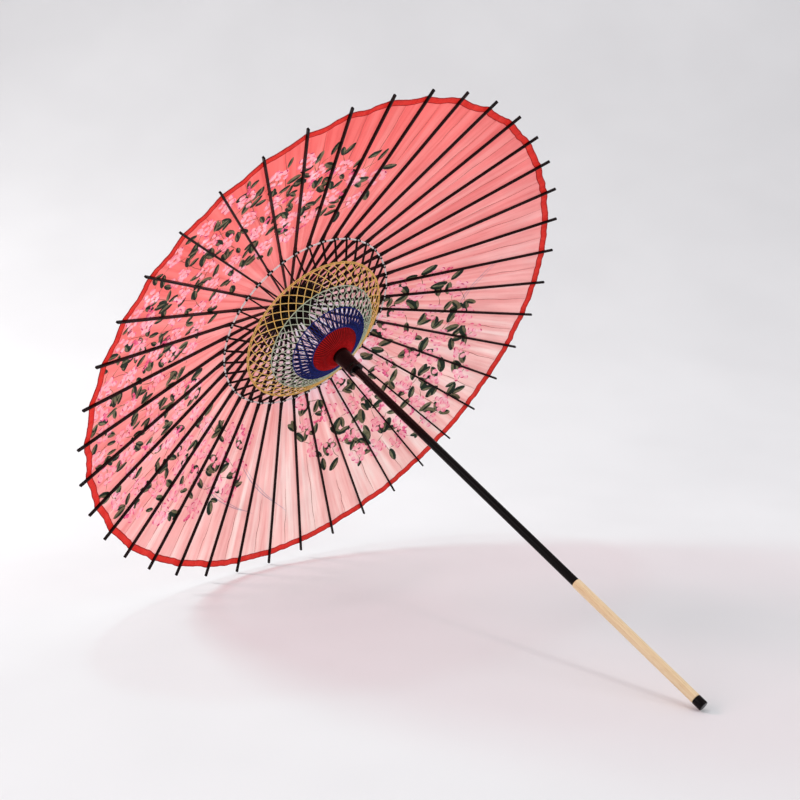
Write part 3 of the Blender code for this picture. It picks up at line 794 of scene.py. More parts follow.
def add_blossoms(rng, middle, marks):
    """A cluster of round petals that crowd about a middle, each with a blush or a deep edge outside."""
    places = [middle]
    for _ in range(60):
        place = middle + heading(rng.uniform(0, 2 * math.pi), CLUSTER_RADIUS * math.sqrt(rng.random()))
        if all((place - other).length > PETAL * 0.72 for other in places):
            places.append(place)
    for place in places:
        turned_by = rng.uniform(0, math.pi)
        size = PETAL * rng.uniform(0.85, 1.15)
        marks.append(Mark("petal", oval(place, size, size * 0.88, turned_by)))
    for place in places:
        outward = math.atan2(place.y - middle.y, place.x - middle.x) + rng.uniform(-0.8, 0.8)
        kind = "petal_edge" if rng.random() < DEEP_PETALS else "blush"
        spread = rng.uniform(1.6, 2.9)
        edge = crescent(place, PETAL * 0.44, outward, spread, PETAL * rng.uniform(0.16, 0.32))
        marks.append(Mark(kind, edge))
        if rng.random() < 0.35:
            marks.append(Mark("blush", crescent(place, PETAL * 0.30, outward + 2.6, 1.6, PETAL * 0.12)))


def add_buds(rng, middle, outward, marks):
    """Three or four small deep-coloured buds that hang at a cluster's end."""
    for n in range(rng.choice((3, 3, 4))):
        aside = heading(outward + math.pi / 2, rng.uniform(-0.003, 0.003))
        place = middle + heading(outward, 0.0042 * n) + aside
        size = PETAL * (0.78 - 0.1 * n)
        marks.append(Mark("blush", oval(place, size, size * 0.75, rng.uniform(0, math.pi), 8)))
        facing = outward + rng.uniform(-1.2, 1.2)
        marks.append(Mark("petal_edge", crescent(place, size * 0.5, facing, 2.4, size * 0.3)))


def add_leaf(rng, base, angle, length, marks):
    """A pointed leaf, brushed dark on one half and light on the other, with a thin stalk."""
    width = length * rng.uniform(0.40, 0.50)
    middle = base + heading(angle, length * 0.58)
    marks.append(Mark("twig", stroke(bowed(base, middle, 0.0, 2), 0.0009)))
    ground, half = rng.choice((("leaf", "leaf_light"), ("leaf", "leaf_light"), ("leaf_light", "leaf")))
    marks.append(Mark(ground, oval(middle, length, width, angle, 12, 1.2)))
    side = rng.choice((-1, 1))
    lit = middle + flat_turn(Vector((0, side * width * 0.22)), angle)
    marks.append(Mark(half, oval(lit, length * 0.78, width * 0.40, angle + side * 0.08, 8, 1.2)))


def in_spray(spray, azimuth, share):
    """Whether a place lies in a spray's band, which widens and bows outward in its middle."""
    first, last, low, rise, half, half_rise = spray
    t = (math.degrees(azimuth) - first) / (last - first)
    arch = math.sin(math.pi * min(max(t, 0.0), 1.0))
    return 0 <= t <= 1 and abs(share - low - rise * arch) < half + half_rise * arch ** 0.6


def spray_marks(rng, spray, leaf_gap, shortest, longest):
    """One spray: clusters of blossoms strewn over its band, with leaves and twigs between them."""
    first, last = math.radians(spray[0]), math.radians(spray[1])
    clusters, nodes = [], []
    for _ in range(2600):
        azimuth, share = rng.uniform(first, last), math.sqrt(rng.uniform(0.09, 0.86))
        place = polar(share * TIP_RADIUS, azimuth).xy
        if not in_spray(spray, azimuth, share):
            continue
        nearest = min((place - other).length for other in clusters) if clusters else 1.0
        if nearest > CLUSTER_GAP:
            clusters.append(place)
        elif nearest > LEAFLESS and all((place - other).length > leaf_gap for other in nodes):
            nodes.append(place)
    twigs, leaves, blossoms = [], [], []
    for place in nodes:
        home = min(clusters, key=lambda other: (place - other).length)
        twigs.append(Mark("twig", stroke(bowed(home, place, rng.uniform(-0.25, 0.25)), 0.0010)))
        outward = math.atan2(place.y - home.y, place.x - home.x)
        for _ in range(rng.choice((1, 1, 2, 2, 2))):
            add_leaf(rng, place, outward + rng.uniform(-1.5, 1.5), rng.uniform(shortest, longest), leaves)
    for place in clusters:
        add_blossoms(rng, place, blossoms)
        if rng.random() < 0.35:
            toward = rng.uniform(0, 2 * math.pi)
            add_buds(rng, place + heading(toward, CLUSTER_RADIUS), toward, blossoms)
    return twigs + leaves + blossoms


def tendril_marks():
    """Pairs of pale curling strokes that trail from the sprays."""
    marks = []
    for start_share, start, end_share, end in TENDRILS:
        a = polar(start_share * TIP_RADIUS, math.radians(start)).xy
        b = polar(end_share * TIP_RADIUS, math.radians(end)).xy
        aside = (b - a).normalized().orthogonal() * 0.0014
        marks.append(Mark("tendril", stroke(bowed(a + aside, b, 0.07, 9), 0.0011)))
        marks.append(Mark("tendril", stroke(bowed(a - aside, b + (b - a) * 0.06, 0.05, 9), 0.0008)))
    return marks


def crease_marks(rng):
    """A thin dark brown line along the old fold down the middle of each panel, running inward from the rim
    and narrowing at its ends.
    """
    marks = []
    for n in range(RIB_COUNT):
        azimuth = (n + 0.5) * RIB_STEP
        outer = edge_radius(COVER_OUTER, azimuth) - 0.001
        inner = rng.uniform(0.60, 0.78) * TIP_RADIUS
        path = []
        for k in range(9):
            radius = inner + (outer - inner) * k / 8
            sway = 0.0013 * math.sin(k * 1.3 + rng.uniform(0, 1.2)) * math.sin(math.pi * k / 8)
            path.append(polar(radius, azimuth + sway / radius).xy)
        marks.append(Mark("crease", stroke(path, 0.0008, 0.35)))
    return marks


def all_marks():
    rng = random.Random(11)
    marks = crease_marks(rng) + tendril_marks()
    for spray, leaves in zip(SPRAYS, SPRAY_LEAVES):
        marks += spray_marks(rng, spray, *leaves)
    return marks


# ================================================================ cover and band

def panel_marks(marks, index):
    """The marks that reach into a rib's panel, turned so that the rib lies along +X."""
    azimuth = index * RIB_STEP
    back = Matrix.Rotation(-azimuth, 2)
    found = []
    for mark in marks:
        middle = back @ mark.middle
        if middle.x < 0:
            continue
        off_side = abs(middle.y) * math.cos(HALF_STEP) - middle.x * math.sin(HALF_STEP)
        if off_side < mark.reach:
            found.append((mark.paint, [back @ p for p in mark.points]))
    return found


def grid_rim(rows, columns):
    """The indices round the edge of a grid of points, columns + 1 to a row."""
    row = columns + 1
    rim = list(range(row)) + [k * row + columns for k in range(1, rows + 1)]
    rim += [rows * row + j for j in range(columns - 1, -1, -1)]
    return rim + [k * row for k in range(rows - 1, 0, -1)]


def painted_plan(index, marks):
    """A panel in plan, its rib along +X: the points, and each triangle with its paint."""
    azimuth = index * RIB_STEP
    points = []
    for k in range(SHEET_ROWS + 1):
        for j in range(SHEET_COLUMNS + 1):
            aside = HALF_STEP * (2 * j / SHEET_COLUMNS - 1)
            outer = edge_radius(COVER_OUTER, azimuth + aside)
            radius = COVER_INNER + (outer - COVER_INNER) * k / SHEET_ROWS
            points.append(polar(radius, aside).xy)
    patch = [polar(COVER_INNER, HALF_STEP).xy, polar(COVER_INNER, -HALF_STEP).xy]
    patch += [polar(PATCH_RADIUS * chord_factor(a), a).xy for a in (-HALF_STEP, 0, HALF_STEP)]
    faces, paints = [grid_rim(SHEET_ROWS, SHEET_COLUMNS)[::-1]], [0]
    for paint_index, outline in [(PAINTS.index("patch"), patch)] + panel_marks(marks, index):
        faces.append(list(range(len(points), len(points) + len(outline))))
        points += outline
        paints.append(paint_index)
    flat, _, cut, _, _, sources = delaunay_2d_cdt(points, [], faces, 1, 1e-7, True)
    painted = []
    for face, origin in zip(cut, sources):
        if 0 in origin:
            middle = sum((flat[v] for v in face), Vector((0, 0))) / 3
            over = [n for n in origin if n and inside([points[v] for v in faces[n]], middle)]
            painted.append((face, paints[max(over, default=0)]))
    return flat, painted


def panel_mesh(index, marks, materials):
    """One rib's panel, from fold to fold, as a thin closed shell with its paint as zones of material."""
    azimuth = index * RIB_STEP
    flat, painted = painted_plan(index, marks)
    used = sorted({v for face, _ in painted for v in face})
    at = {v: n for n, v in enumerate(used)}
    place, half = turn(azimuth), Vector((0, 0, SHEET_THICKNESS / 2))
    sheet = []
    for v in used:
        x, y = flat[v]
        sheet.append(place @ Vector((x, y, sheet_height(math.hypot(x, y), azimuth + math.atan2(y, x)))))
    bag = Bag()
    faces = [tuple(at[v] for v in face) for face, _ in painted]
    slots = [slot for _, slot in painted]
    add_shell(bag, [v - half for v in sheet], [v + half for v in sheet], faces, slots)
    return bag.mesh(f"canopy_panel_{index:02d}", materials, 60)


def band_section():
    """The border strip's section as (share of its width, height): flat, with a rolled hem at each edge."""
    half, raise_ = BAND_THICKNESS / 2, HEM_RAISE
    top = [(0.00, half * 0.4), (0.02, half + raise_), (0.09, half + raise_), (0.12, half),
           (0.88, half), (0.91, half + raise_), (0.98, half + raise_), (1.00, half * 0.4)]
    return top + [(share, -height) for share, height in reversed(top)]


def band_mesh(index, materials):
    """One rib's length of the border strip, its hems in the second material."""
    azimuth = index * RIB_STEP
    section = band_section()
    columns = SHEET_COLUMNS * 2
    verts = []
    for j in range(columns + 1):
        here = azimuth + HALF_STEP * (2 * j / columns - 1)
        inner, outer = edge_radius(COVER_OUTER, here) - BAND_LAP, edge_radius(BAND_OUTER, here)
        for share, offset in section:
            radius = inner + (outer - inner) * share
            verts.append(polar(radius, here, sheet_height(radius, here) + offset))
    bag = Bag()
    bag.add(verts, rings_of_faces(len(section), columns + 1))
    for n in range(len(section) * columns):
        share = (section[n % len(section)][0] + section[(n + 1) % len(section)][0]) / 2
        bag.slots[n] = int(abs(share - 0.5) > 0.39)
    return bag.mesh(f"rim_band_{index:02d}", materials, 50)


def fold_at_rib(piece):
    """Gives a soft piece its own copy of its mesh."""
    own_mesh(piece)


def add_cover(looks):
    """The sheet and its red border, a panel for each rib."""
    marks = all_marks()
    sheet_looks = [looks[name] for name in PAINTS]
    for n in range(RIB_COUNT):
        body = f"rib_{n:02d}_body"
        for mesh, slot, node in ((panel_mesh(n, marks, sheet_looks), "cover", "canopy"),
                                 (band_mesh(n, [looks["band"], looks["hem"]]), "red_band", "rim_band")):
            piece = put(mesh.name, mesh, body, slot, node)
            piece.visible_diffuse = False  # the sheet doesn't tint the white floor round it
            fold_at_rib(piece)


# ================================================================ ribs, struts and cords

def add_rib_looks(looks):
    """Keeps the CAD ribs, eases their edges and gives them bamboo."""
    for n in range(RIB_COUNT):
        rib = frame["nodes"][f"rib_{n:02d}"]
        ease_edges(rib, 0.00025)
        repaint(rib, looks["rib"])


def ease_edges(obj, width):
    weld = obj.modifiers.new("weld", "WELD")
    weld.merge_threshold = 1e-6
    bevel = obj.modifiers.new("bevel", "BEVEL")
    bevel.width, bevel.segments, bevel.limit_method = width, 2, "ANGLE"
    bevel.angle_limit = math.radians(40)
    bevel.harden_normals = True


def repaint(obj, material):
    for slot in obj.material_slots:
        slot.material = material


def fan_middle(fan):
    """The azimuth of a fan's middle strut."""
    return (fan * FAN_STRUTS + FAN_STRUTS // 2) * RIB_STEP


def strut_place(index):
    """Moves a strut drawn along +X from its eye to its place under a rib."""
    hinge = Matrix.Translation((RUNNER_PIVOT_RADIUS, 0, RUNNER_PIVOT_HEIGHT))
    return turn(index * RIB_STEP) @ hinge @ Matrix.Rotation(-STRUT_RISE, 4, "Y")


def add_struts(looks):
    """Forty struts of split bamboo. Each rides on its fan."""
    lean = STRUT_RISE + DROOP
    end, half = STRUT_LENGTH - (KNUCKLE_DEPTH + GAP) / math.sin(lean), STRUT_DEPTH / 2
    stations = [(-half, 0.9 * STRUT_WIDTH, 0.45 * STRUT_DEPTH, 0)]
    stations.append((-0.6 * half, STRUT_WIDTH, 0.85 * STRUT_DEPTH, 0))
    for share, wide, deep in STRUT_STATIONS:
        cut = -1 / math.tan(lean) if share == 1 else 0
        stations.append((share * end, wide * STRUT_WIDTH, deep * STRUT_DEPTH, cut))
    for n in range(RIB_COUNT):
        name, fan = f"strut_{n:02d}", n // FAN_STRUTS
        bag = Bag()
        bar(bag, stations, strut_place(n))
        strut = put(name, bag.mesh(name, [looks["rib"]]), f"strut_fan_{fan + 1}_body", "dark_rib",
                    f"strut_fan_{fan + 1}")
        if n % FAN_STRUTS != FAN_STRUTS // 2:
            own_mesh(strut)


def knuckle_point(along, above):
    """A point near rib 0's knuckle: along the rib from the knuckle, and above its centre line."""
    middle = Vector((KNUCKLE_RADIUS, 0, KNUCKLE_HEIGHT))
    return middle + Matrix.Rotation(DROOP, 3, "Y") @ Vector((along, 0, above))


def cord_mesh(name, looks, place):
    """The white cord from half way before a knuckle to half way after it, wound with dark thread near it."""
    along_rib, above = CORD_KNOT
    knot = knuckle_point(along_rib, above)
    before, after = (turn(side * RIB_STEP) @ knot for side in (-1, 1))
    start, end = (knot + before) / 2, (knot + after) / 2
    length = (end - start).length

    def along(share):
        return start.lerp(knot, share * 2) if share < 0.5 else knot.lerp(end, share * 2 - 1)

    def outward(_):
        return Vector((1, 0, 0))

    bag = Bag()
    for ply in (0, math.pi):
        helix(bag, along, outward, CORD_PLY, CORD_PLY, CORD_TURNS, 10, ply, 6)
    for side in (-1, 1):
        near, far = 0.5 + side * SLEEVE_START / length, 0.5 + side * SLEEVE_END / length
        helix(bag, lambda share: along(near + (far - near) * share), outward,
              SLEEVE_RADIUS, WRAP_THREAD, SLEEVE_TURNS, 12, slot=1)
    bag.move(place)
    return bag.mesh(name, [looks["white_cord"], looks["dark_cord"]])


def binding_mesh(name, looks, place):
    """Two bands of dark thread bound round a knuckle, rounded at its corners."""
    bag = Bag()
    middle, half = (RIB_TOP - KNUCKLE_DEPTH) / 2 - WRAP_THREAD / 2, (RIB_TOP + KNUCKLE_DEPTH) / 2
    width = KNUCKLE_HALF_WIDTH + WRAP_THREAD * 0.7
    steps = 16 * WRAP_TURNS
    for first, last in WRAP_BANDS:
        path = []
        for k in range(steps + 1):
            a = 2 * math.pi * WRAP_TURNS * k / steps
            across, up = (math.copysign(abs(v) ** 0.35, v) for v in (math.cos(a), math.sin(a)))
            spot = knuckle_point(first + (last - first) * k / steps, middle + up * half)
            path.append(spot + Vector((0, across * width, 0)))
        tube(bag, path, WRAP_THREAD)
    bag.move(place)
    return bag.mesh(name, [looks["dark_cord"]])


def add_cords(looks):
    """The white cord from knuckle to knuckle and the thread bound round each knuckle."""
    kinds = (("white_cord", cord_mesh, "white_cord", 0.13),
             ("knuckle_binding", binding_mesh, "dark_cord", 0.74))
    for n in range(RIB_COUNT):
        for kind, made, slot, keep in kinds:
            name = f"{kind}_{n:02d}"
            piece = put(name, made(name, looks, turn(n * RIB_STEP)), f"rib_{n:02d}_body", slot)
            fold_at_rib(piece)


# ================================================================ laced threads

def lace_height(radius):
    """The laced surface: flat under the runner's flange, then up to the underside of the struts."""
    flat = RUNNER_PIVOT_HEIGHT - FLANGE_DROP - LACE_DROP
    flat_end, strut_start = RUNNER_RADIUS + 0.0008, RUNNER_RADIUS + 0.0045
    if radius <= flat_end:
        return flat
    along = max(radius, strut_start) - RUNNER_PIVOT_RADIUS
    below = (STRUT_DEPTH / 2 + LACE_DROP) / math.cos(STRUT_RISE)
    under = RUNNER_PIVOT_HEIGHT + along * math.tan(STRUT_RISE) - below
    share = min(1.0, (radius - flat_end) / (strut_start - flat_end))
    return flat + (under - flat) * share


def lace_path(start, end, low, high):
    """The part of a thread between two azimuths; start and end are (radius, azimuth)."""
    (r0, a0), (r1, a1) = start, end
    steps = 12
    t0, t1 = sorted(((low - a0) / (a1 - a0), (high - a0) / (a1 - a0)))
    t0, t1 = max(t0, 0.0), min(t1, 1.0)
    if t1 - t0 < 1e-3:
        return []
    count = max(2, math.ceil(steps * (t1 - t0)))
    spots = [t0 + (t1 - t0) * k / count for k in range(count + 1)]
    return [polar(r0 + (r1 - r0) * t, a0 + (a1 - a0) * t) for t in spots]


LACE_LOOKS = ["lace_red", "lace_navy", "lace_green", "lace_yellow", "lace_red_shade"]


def add_threads(bag, low, high):
    """The slanting threads of each coloured zone between two azimuths, crossing both ways."""
    for name, inner, outer, threads, shift, size in LACE_ZONES:
        step = 2 * math.pi / threads
        reach = shift * RIB_STEP
        for way in (-1, 1):
            first = math.floor((low - way * reach) / step) - 2 - threads // 8
            last = math.ceil((high + reach) / step) + 2 + threads // 8
            for n in range(first, last):
                middle = (n + 0.5) * step
                path = lace_path((inner * TIP_RADIUS, middle - way * reach / 2),
                                 (outer * TIP_RADIUS, middle + way * reach / 2), low, high)
                if path:
                    lift = 0.4 * size * way
                    path = [Vector((p.x, p.y, lace_height(p.xy.length) + lift)) for p in path]
                    tube(bag, path, size, slot=LACE_LOOKS.index(name))


def add_ropes(bag, low, high):
    """The twisted ropes between the zones, from one azimuth to another."""
    def outward(share):
        return polar(1, low + (high - low) * share)

    for name, share, count in LACE_ROPES:
        for k in range(count):
            radius = share * TIP_RADIUS + k * ROPE_RADIUS * 1.9
            drop = Vector((0, 0, lace_height(radius) - ROPE_RADIUS * 0.6))
            for ply in (0, math.pi):
                helix(bag, lambda t: radius * outward(t) + drop, outward, 0.5 * ROPE_RADIUS,
                      0.55 * ROPE_RADIUS, ROPE_TWISTS * FAN_STRUTS, 8, ply, slot=LACE_LOOKS.index(name))


def add_lacing(looks):
    """Coloured threads laced from strut to strut; one piece for each fan of struts."""
    for fan in range(FAN_COUNT):
        name, middle = f"lacing_{fan + 1}", fan_middle(fan)
        low, high = middle - FAN_STRUTS * HALF_STEP, middle + FAN_STRUTS * HALF_STEP
        bag = Bag()
        add_threads(bag, low, high)
        add_ropes(bag, low, high)
        add_backing(bag, low, high)
        piece = put(name, bag.mesh(name, [looks[look] for look in LACE_LOOKS]), f"strut_fan_{fan + 1}_body",
                    "lacing_thread", "lacing")
        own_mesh(piece)


def add_backing(bag, low, high):
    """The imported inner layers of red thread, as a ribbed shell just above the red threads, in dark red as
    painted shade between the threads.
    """
    _, inner, outer, threads, _, size = LACE_ZONES[0]
    rows, columns = 8, threads // FAN_COUNT * 2
    slot = LACE_LOOKS.index("lace_red_shade")
    sheet = []
    for k in range(rows + 1):
        radius = (inner + (outer - inner) * k / rows) * TIP_RADIUS
        for j in range(columns + 1):
            ribbed = size * 0.5 * (j % 2)
            sheet.append(polar(radius, low + (high - low) * j / columns, lace_height(radius) + ribbed))
    row = columns + 1
    corners = [k * row + j for k in range(rows) for j in range(columns)]
    faces = [(a, a + row, a + row + 1, a + 1) for a in corners]
    bottom, top = (Vector((0, 0, share * size)) for share in (0.4, 1.6))
    add_shell(bag, [v + bottom for v in sheet], [v + top for v in sheet], faces, [slot] * len(faces), slot)


# ================================================================ turned pieces

def slot_boxes(pivot, low, high):
    """A radial slot for each rib, as cutter boxes, from just inside the pivots' radius."""
    inner, half = pivot - SLOT_DEPTH, SLOT_WIDTH / 2
    return [((inner, -half, low), (0.06, half, high), turn(n * RIB_STEP)) for n in range(RIB_COUNT)]


def flange(radius, low, top):
    """The rounded outside of a slotted disc."""
    lower = arc(radius - 0.0004, low + 0.0005, 0.0005, -90, 0, 3)
    return lower + arc(radius - 0.0004, top - 0.0005, 0.0005, 0, 90, 3)


TENON_RADIUS, TENON_LOW = 0.8 * SHAFT_RADIUS, GRIP_TOP - 0.030


def add_shaft(looks):
    """The shaft with its tenon at the foot and the slot for the catch."""
    round_ = 0.0006
    foot = GRIP_TOP + GAP
    profile = [(0, TENON_LOW), (TENON_RADIUS, TENON_LOW), (TENON_RADIUS, foot)]
    profile += arc(SHAFT_RADIUS - round_, foot + round_, round_, -90, 0, 3)
    profile += arc(SHAFT_RADIUS - round_, SHAFT_TOP - round_, round_, 0, 90, 3) + [(0, SHAFT_TOP)]
    leaf_low, leaf_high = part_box("catch_spring")
    axis = Vector(JOINTS["catch_press"]["axis"])
    facing = turn(math.atan2(-axis.y, -axis.x))
    cut = ((-0.0036, -0.001, leaf_low.z - GAP), (0.02, 0.001, leaf_high.z + GAP), facing)
    put_turned("shaft", turned("shaft", profile, looks["lacquer"]), boxes=[cut])


def add_grip(looks):
    """The grip with its socket for the shaft's tenon."""
    round_ = 0.0011
    profile = [(0, GRIP_LOW), (GRIP_RADIUS - round_, GRIP_LOW)]
    profile += arc(GRIP_RADIUS - round_, GRIP_LOW + round_, round_, -90, 0)
    profile += arc(GRIP_RADIUS - round_, GRIP_TOP - round_, round_, 0, 90)
    socket, socket_low = TENON_RADIUS + GAP, TENON_LOW - GAP
    profile += [(socket, GRIP_TOP), (socket, socket_low), (0, socket_low)]
    put_turned("grip", turned("grip", profile, looks["wood"]), slot="pale_wood")


def add_end_cap(looks):
    """The cap at the grip's end."""
    round_ = 0.0009
    top = GRIP_LOW - GAP
    profile = [(0, 0), (END_CAP_RADIUS - round_, 0)] + arc(END_CAP_RADIUS - round_, round_, round_, -90, 0)
    profile += arc(END_CAP_RADIUS - round_ / 2, top - round_ / 2, round_ / 2, 0, 90, 3) + [(0, top)]
    put_turned("end_cap", turned("end_cap", profile, looks["lacquer"]))


def add_hub(looks):
    """The upper hub: a slotted disc between a flared neck and a core."""
    bore, pivot = SHAFT_RADIUS + GAP, HEAD_PIVOT_HEIGHT
    top, low = pivot - 0.0007, pivot - 0.006
    profile = [(bore, HUB_LOW)] + arc(0.0096, HUB_LOW + 0.0006, 0.0006, -90, 0, 3)
    profile += [(0.0105, low - 0.004), (0.0112, low - 0.0008), (0.0116, low)] + flange(HUB_RADIUS, low, top)
    profile += [(0.012, top), (0.012, HUB_TOP - 0.0005), (0.0115, HUB_TOP), (bore, HUB_TOP)]
    put_turned("head_hub", turned("head_hub", profile, looks["lacquer"], closed=True),
               boxes=slot_boxes(HEAD_PIVOT_RADIUS, low - 0.002, top + 0.002))


def add_runner(looks):
    """The runner: a slotted flange on a neck that tapers to a low rounded collar."""
    bore, pivot = SHAFT_RADIUS + GAP, RUNNER_PIVOT_HEIGHT
    top, low = pivot - 0.0007, pivot - FLANGE_DROP
    collar_top, neck_low, neck_high = RUNNER_LOW + 0.0065, RUNNER_LOW + 0.0077, low - 0.004
    profile = [(bore, RUNNER_LOW)] + arc(0.0103, RUNNER_LOW + 0.0009, 0.0009, -90, 0)
    profile += arc(0.0105, collar_top - 0.0007, 0.0007, 0, 90, 4)
    profile += [(0.01055, collar_top + 0.0001), (0.0104, collar_top + 0.0006), (0.0107, neck_low)]
    profile += [(0.0107 + 0.0019 * t / 4, neck_low + (neck_high - neck_low) * t / 4) for t in range(1, 5)]
    profile += [(0.0126, low)] + flange(RUNNER_RADIUS, low, top)
    core = RUNNER_PIVOT_RADIUS - 0.0028
    profile += [(core, top), (core, RUNNER_TOP - 0.0004), (core - 0.0004, RUNNER_TOP), (bore, RUNNER_TOP)]
    put_turned("runner", turned("runner", profile, looks["lacquer"], closed=True), "runner_body",
               boxes=slot_boxes(RUNNER_PIVOT_RADIUS, low - 0.002, top + 0.002))


def add_head_cap(looks):
    """The cap over the cover's centre: a beaded rim, a shallow dome with a turned groove and a knob."""
    inner, bore, core = CAP_LOW + 0.0036, SHAFT_RADIUS + GAP, 0.0123
    profile = [(0, SHAFT_TOP + GAP), (bore, SHAFT_TOP + GAP), (bore, HUB_TOP + GAP)]
    profile += [(core, HUB_TOP + GAP), (core, inner), (HUB_RADIUS, inner), (CAP_RADIUS - 0.0012, CAP_LOW)]
    profile += arc(CAP_RADIUS - 0.0009, CAP_LOW + 0.0009, 0.0009, -90, 90, 8)
    dome_radius, dome_low, dome_rise = CAP_RADIUS - 0.0014, CAP_LOW + 0.0020, CAP_TOP - CAP_LOW - 0.0060
    for n in range(13):
        a = math.radians(74 * n / 12)
        groove = 0.0006 if n == 3 else 0.0
        profile.append(((dome_radius - groove) * math.cos(a), dome_low + (dome_rise - groove) * math.sin(a)))
    profile += [(0.0055, CAP_TOP - 0.0036), (0.0050, CAP_TOP - 0.0030)]
    profile += arc(0.0032, CAP_TOP - 0.0019, 0.0019, -20, 90, 7) + [(0, CAP_TOP)]
    put_turned("head_cap", turned("head_cap", profile, looks["lacquer"], 96))


def add_hinge_cords(looks):
    """The two cords that the rib eyes and the strut eyes turn on, each of two twisted plies."""
    def outward(share):
        return polar(1, 2 * math.pi * share)

    rings = (("head_cord", HEAD_PIVOT_RADIUS, HEAD_PIVOT_HEIGHT, "frame"),
             ("runner_cord", RUNNER_PIVOT_RADIUS, RUNNER_PIVOT_HEIGHT, "runner_body"))
    for name, radius, height, body in rings:
        lift = Vector((0, 0, height))
        bag = Bag()
        for ply in (0, math.pi):
            helix(bag, lambda share: radius * outward(share) + lift, outward, HINGE_CORD_PLY, HINGE_CORD_PLY,
                  3 * RIB_COUNT, 6, ply, 4, closed=True)
        put(name + "_plies", bag.mesh(name + "_plies", [looks["dark_cord"]]), body, "dark_cord", name)


def add_catch_looks(looks):
    """Keeps the CAD catch spring, eases its edges and gives it steel."""
    leaf = frame["nodes"]["catch_spring"]
    ease_edges(leaf, 0.0002)
    repaint(leaf, looks["steel"])


# ================================================================ stage

def floor_frame():
    """The floor's normal and a point on it: it touches the end cap's rim and the rib tips at the contact."""
    out = polar(1, CONTACT_AZIMUTH)
    cap = out * END_CAP_RADIUS
    tip = out * TIP_RADIUS + Vector((0, 0, TIP_LOW))
    normal = (tip - cap).cross(polar(1, CONTACT_AZIMUTH + math.pi / 2)).normalized()
    return (normal if normal.z > 0 else -normal), cap


def stage_axes():
    """The floor's right, back and up as the camera sees them."""
    normal, _ = floor_frame()
    _, forward = camera_frame()
    back = (forward - normal * forward.dot(normal)).normalized()
    return back.cross(normal), back, normal


def camera_frame():
    """The camera's place and the way it looks."""
    away = polar(math.cos(CAMERA_DROP), CAMERA_AZIMUTH, -math.sin(CAMERA_DROP))
    place = Vector((0, 0, rib_line(TIP_RADIUS))) + away * CAMERA_DISTANCE
    return place, (AIM - place).normalized()


def looking(place, forward, up):
    """A matrix that looks along forward from a place, with up upwards."""
    right = forward.cross(up).normalized()
    up = right.cross(forward)
    rotation = Matrix((right, up, -forward)).transposed().to_4x4()
    return Matrix.Translation(place) @ rotation


def add_camera():
    camera = bpy.data.objects.new("camera", bpy.data.cameras.new("camera"))
    camera.data.lens = CAMERA_LENS
    bpy.context.scene.collection.objects.link(camera)
    place, forward = camera_frame()
    camera.matrix_world = looking(place, forward, floor_frame()[0])
    bpy.context.scene.camera = camera


# painted light on the floor and wall: brighter about a metre behind the umbrella, dimmer further back
WALL_PAINTED_LIGHT = (  # thirds of the metres behind the umbrella, brightness
    (0.10, 1.0),
    (0.30, 1.07),
    (0.49, 1.045),
    (0.67, 0.985),
    (0.87, 0.92),
)
FLAT_END, BEND_RADIUS = 0.9, 2.2


def backdrop_look(back):
    """White paper with painted light, brightest about a metre behind the umbrella and dimmer further back,
    and clear from behind, so it hides nothing from below.
    """
    tree = Tree("backdrop", 0.85)
    pale = tree.ramp(tree.noise(tree.place, 3.0, 2.0), (0.3, (0.80, 0.79, 0.80)), (0.7, (0.84, 0.83, 0.84)))
    ahead = tree.node("VectorMath", operation="DOT_PRODUCT")
    tree.feed(ahead.inputs[0], tree.place)
    tree.feed(ahead.inputs[1], tuple(back))
    thirds = tree.math("MULTIPLY", ahead.outputs["Value"], 1 / 3)
    # painted light that brightens and then dims with the way back
    painted_light_falloff = tree.ramp(thirds, *((share, (grey, grey, grey)) for share, grey in WALL_PAINTED_LIGHT))
    tree.set(tree.times(pale, painted_light_falloff))
    behind = tree.node("NewGeometry").outputs["Backfacing"]
    tree.mix_shaders(behind, tree.shader, tree.node("BsdfTransparent"))
    return tree.material


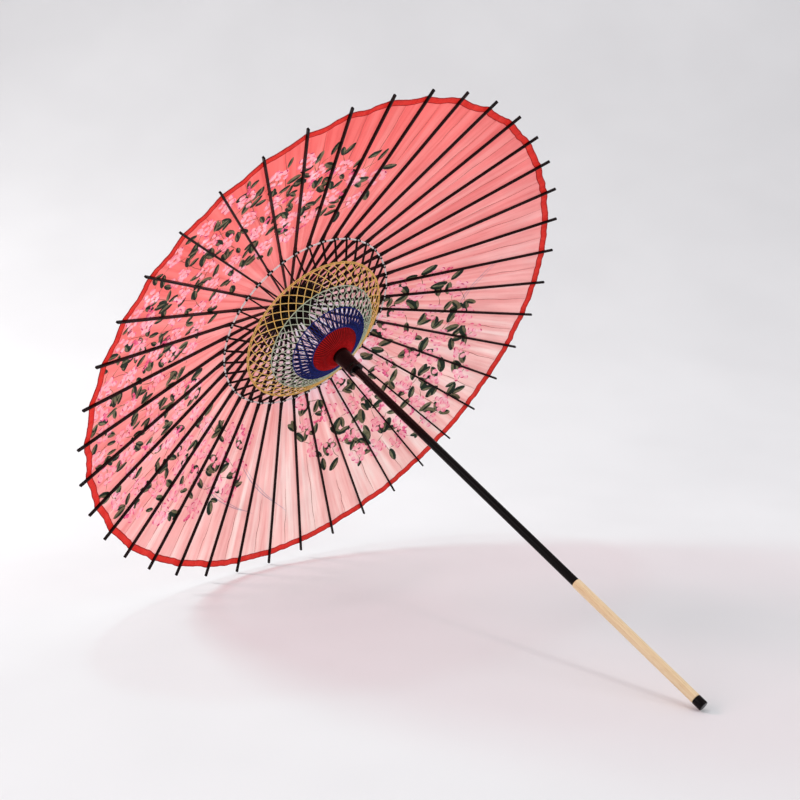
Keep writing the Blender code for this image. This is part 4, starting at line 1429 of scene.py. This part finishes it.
def add_backdrop():
    """A pale sweep: floor, a wide bend and a wall."""
    right, back, normal = stage_axes()
    _, touch = floor_frame()
    path = [(-6.0, 0.0), (-2.0, 0.0), (0.0, 0.0)]
    for n in range(25):
        a = math.radians(90 * n / 24)
        path.append((FLAT_END + BEND_RADIUS * math.sin(a), BEND_RADIUS - BEND_RADIUS * math.cos(a)))
    path.append((FLAT_END + BEND_RADIUS, BEND_RADIUS + 6.0))
    verts = [touch + back * ahead + normal * up + right * side for ahead, up in path for side in (-8.0, 8.0)]
    bag = Bag()
    bag.add(verts, [(2 * n, 2 * n + 1, 2 * n + 3, 2 * n + 2) for n in range(len(path) - 1)])
    sweep = bpy.data.objects.new("backdrop", bag.mesh("backdrop", [backdrop_look(back)]))
    bpy.context.scene.collection.objects.link(sweep)


LAMPS = (  # name, direction in the floor's right, back and up, distance, size, power, colour
    ("key", (-1.5, 0.4, 1.0), 2.7, 0.8, 41.0, (1.0, 0.985, 0.97)),
    ("top", (-0.15, 0.0, 1.0), 2.6, 0.25, 7.0, (1.0, 1.0, 1.0)),
    ("fill", (1.2, -0.9, 0.9), 3.0, 2.6, 25.0, (0.97, 0.98, 1.0)),
    ("left", (-1.0, -1.0, 0.8), 3.0, 1.6, 6.5, (1.0, 1.0, 1.0)),
    ("back", (0.6, 0.9, 1.0), 3.0, 1.8, 6.0, (1.0, 1.0, 1.0)),
)
LIT = Vector((0, 0, 0.6))


def add_lights():
    """Round soft lamps that point at the umbrella, and a pale sky."""
    right, back, normal = stage_axes()
    for name, toward, distance, size, power, colour in LAMPS:
        direction = (right * toward[0] + back * toward[1] + normal * toward[2]).normalized()
        data = bpy.data.lights.new(name, "AREA")
        data.shape, data.size, data.energy, data.color = "DISK", size, power, colour
        lamp = bpy.data.objects.new(name, data)
        bpy.context.scene.collection.objects.link(lamp)
        lamp.matrix_world = looking(LIT + direction * distance, -direction, normal)
        lamp.visible_camera = False
    world = bpy.data.worlds.new("world")
    world.use_nodes = True
    sky = world.node_tree.nodes["Background"]
    sky.inputs["Color"].default_value = (0.90, 0.90, 0.93, 1.0)
    sky.inputs["Strength"].default_value = 0.57
    bpy.context.scene.world = world
    bpy.context.scene.view_settings.view_transform = "Standard"


def build():
    looks = make_materials()
    for add in (add_cover, add_rib_looks, add_struts, add_cords, add_lacing, add_shaft, add_grip,
                add_end_cap, add_hub, add_runner, add_head_cap, add_hinge_cords, add_catch_looks):
        add(looks)
    add_backdrop()
    add_lights()
    add_camera()


build()
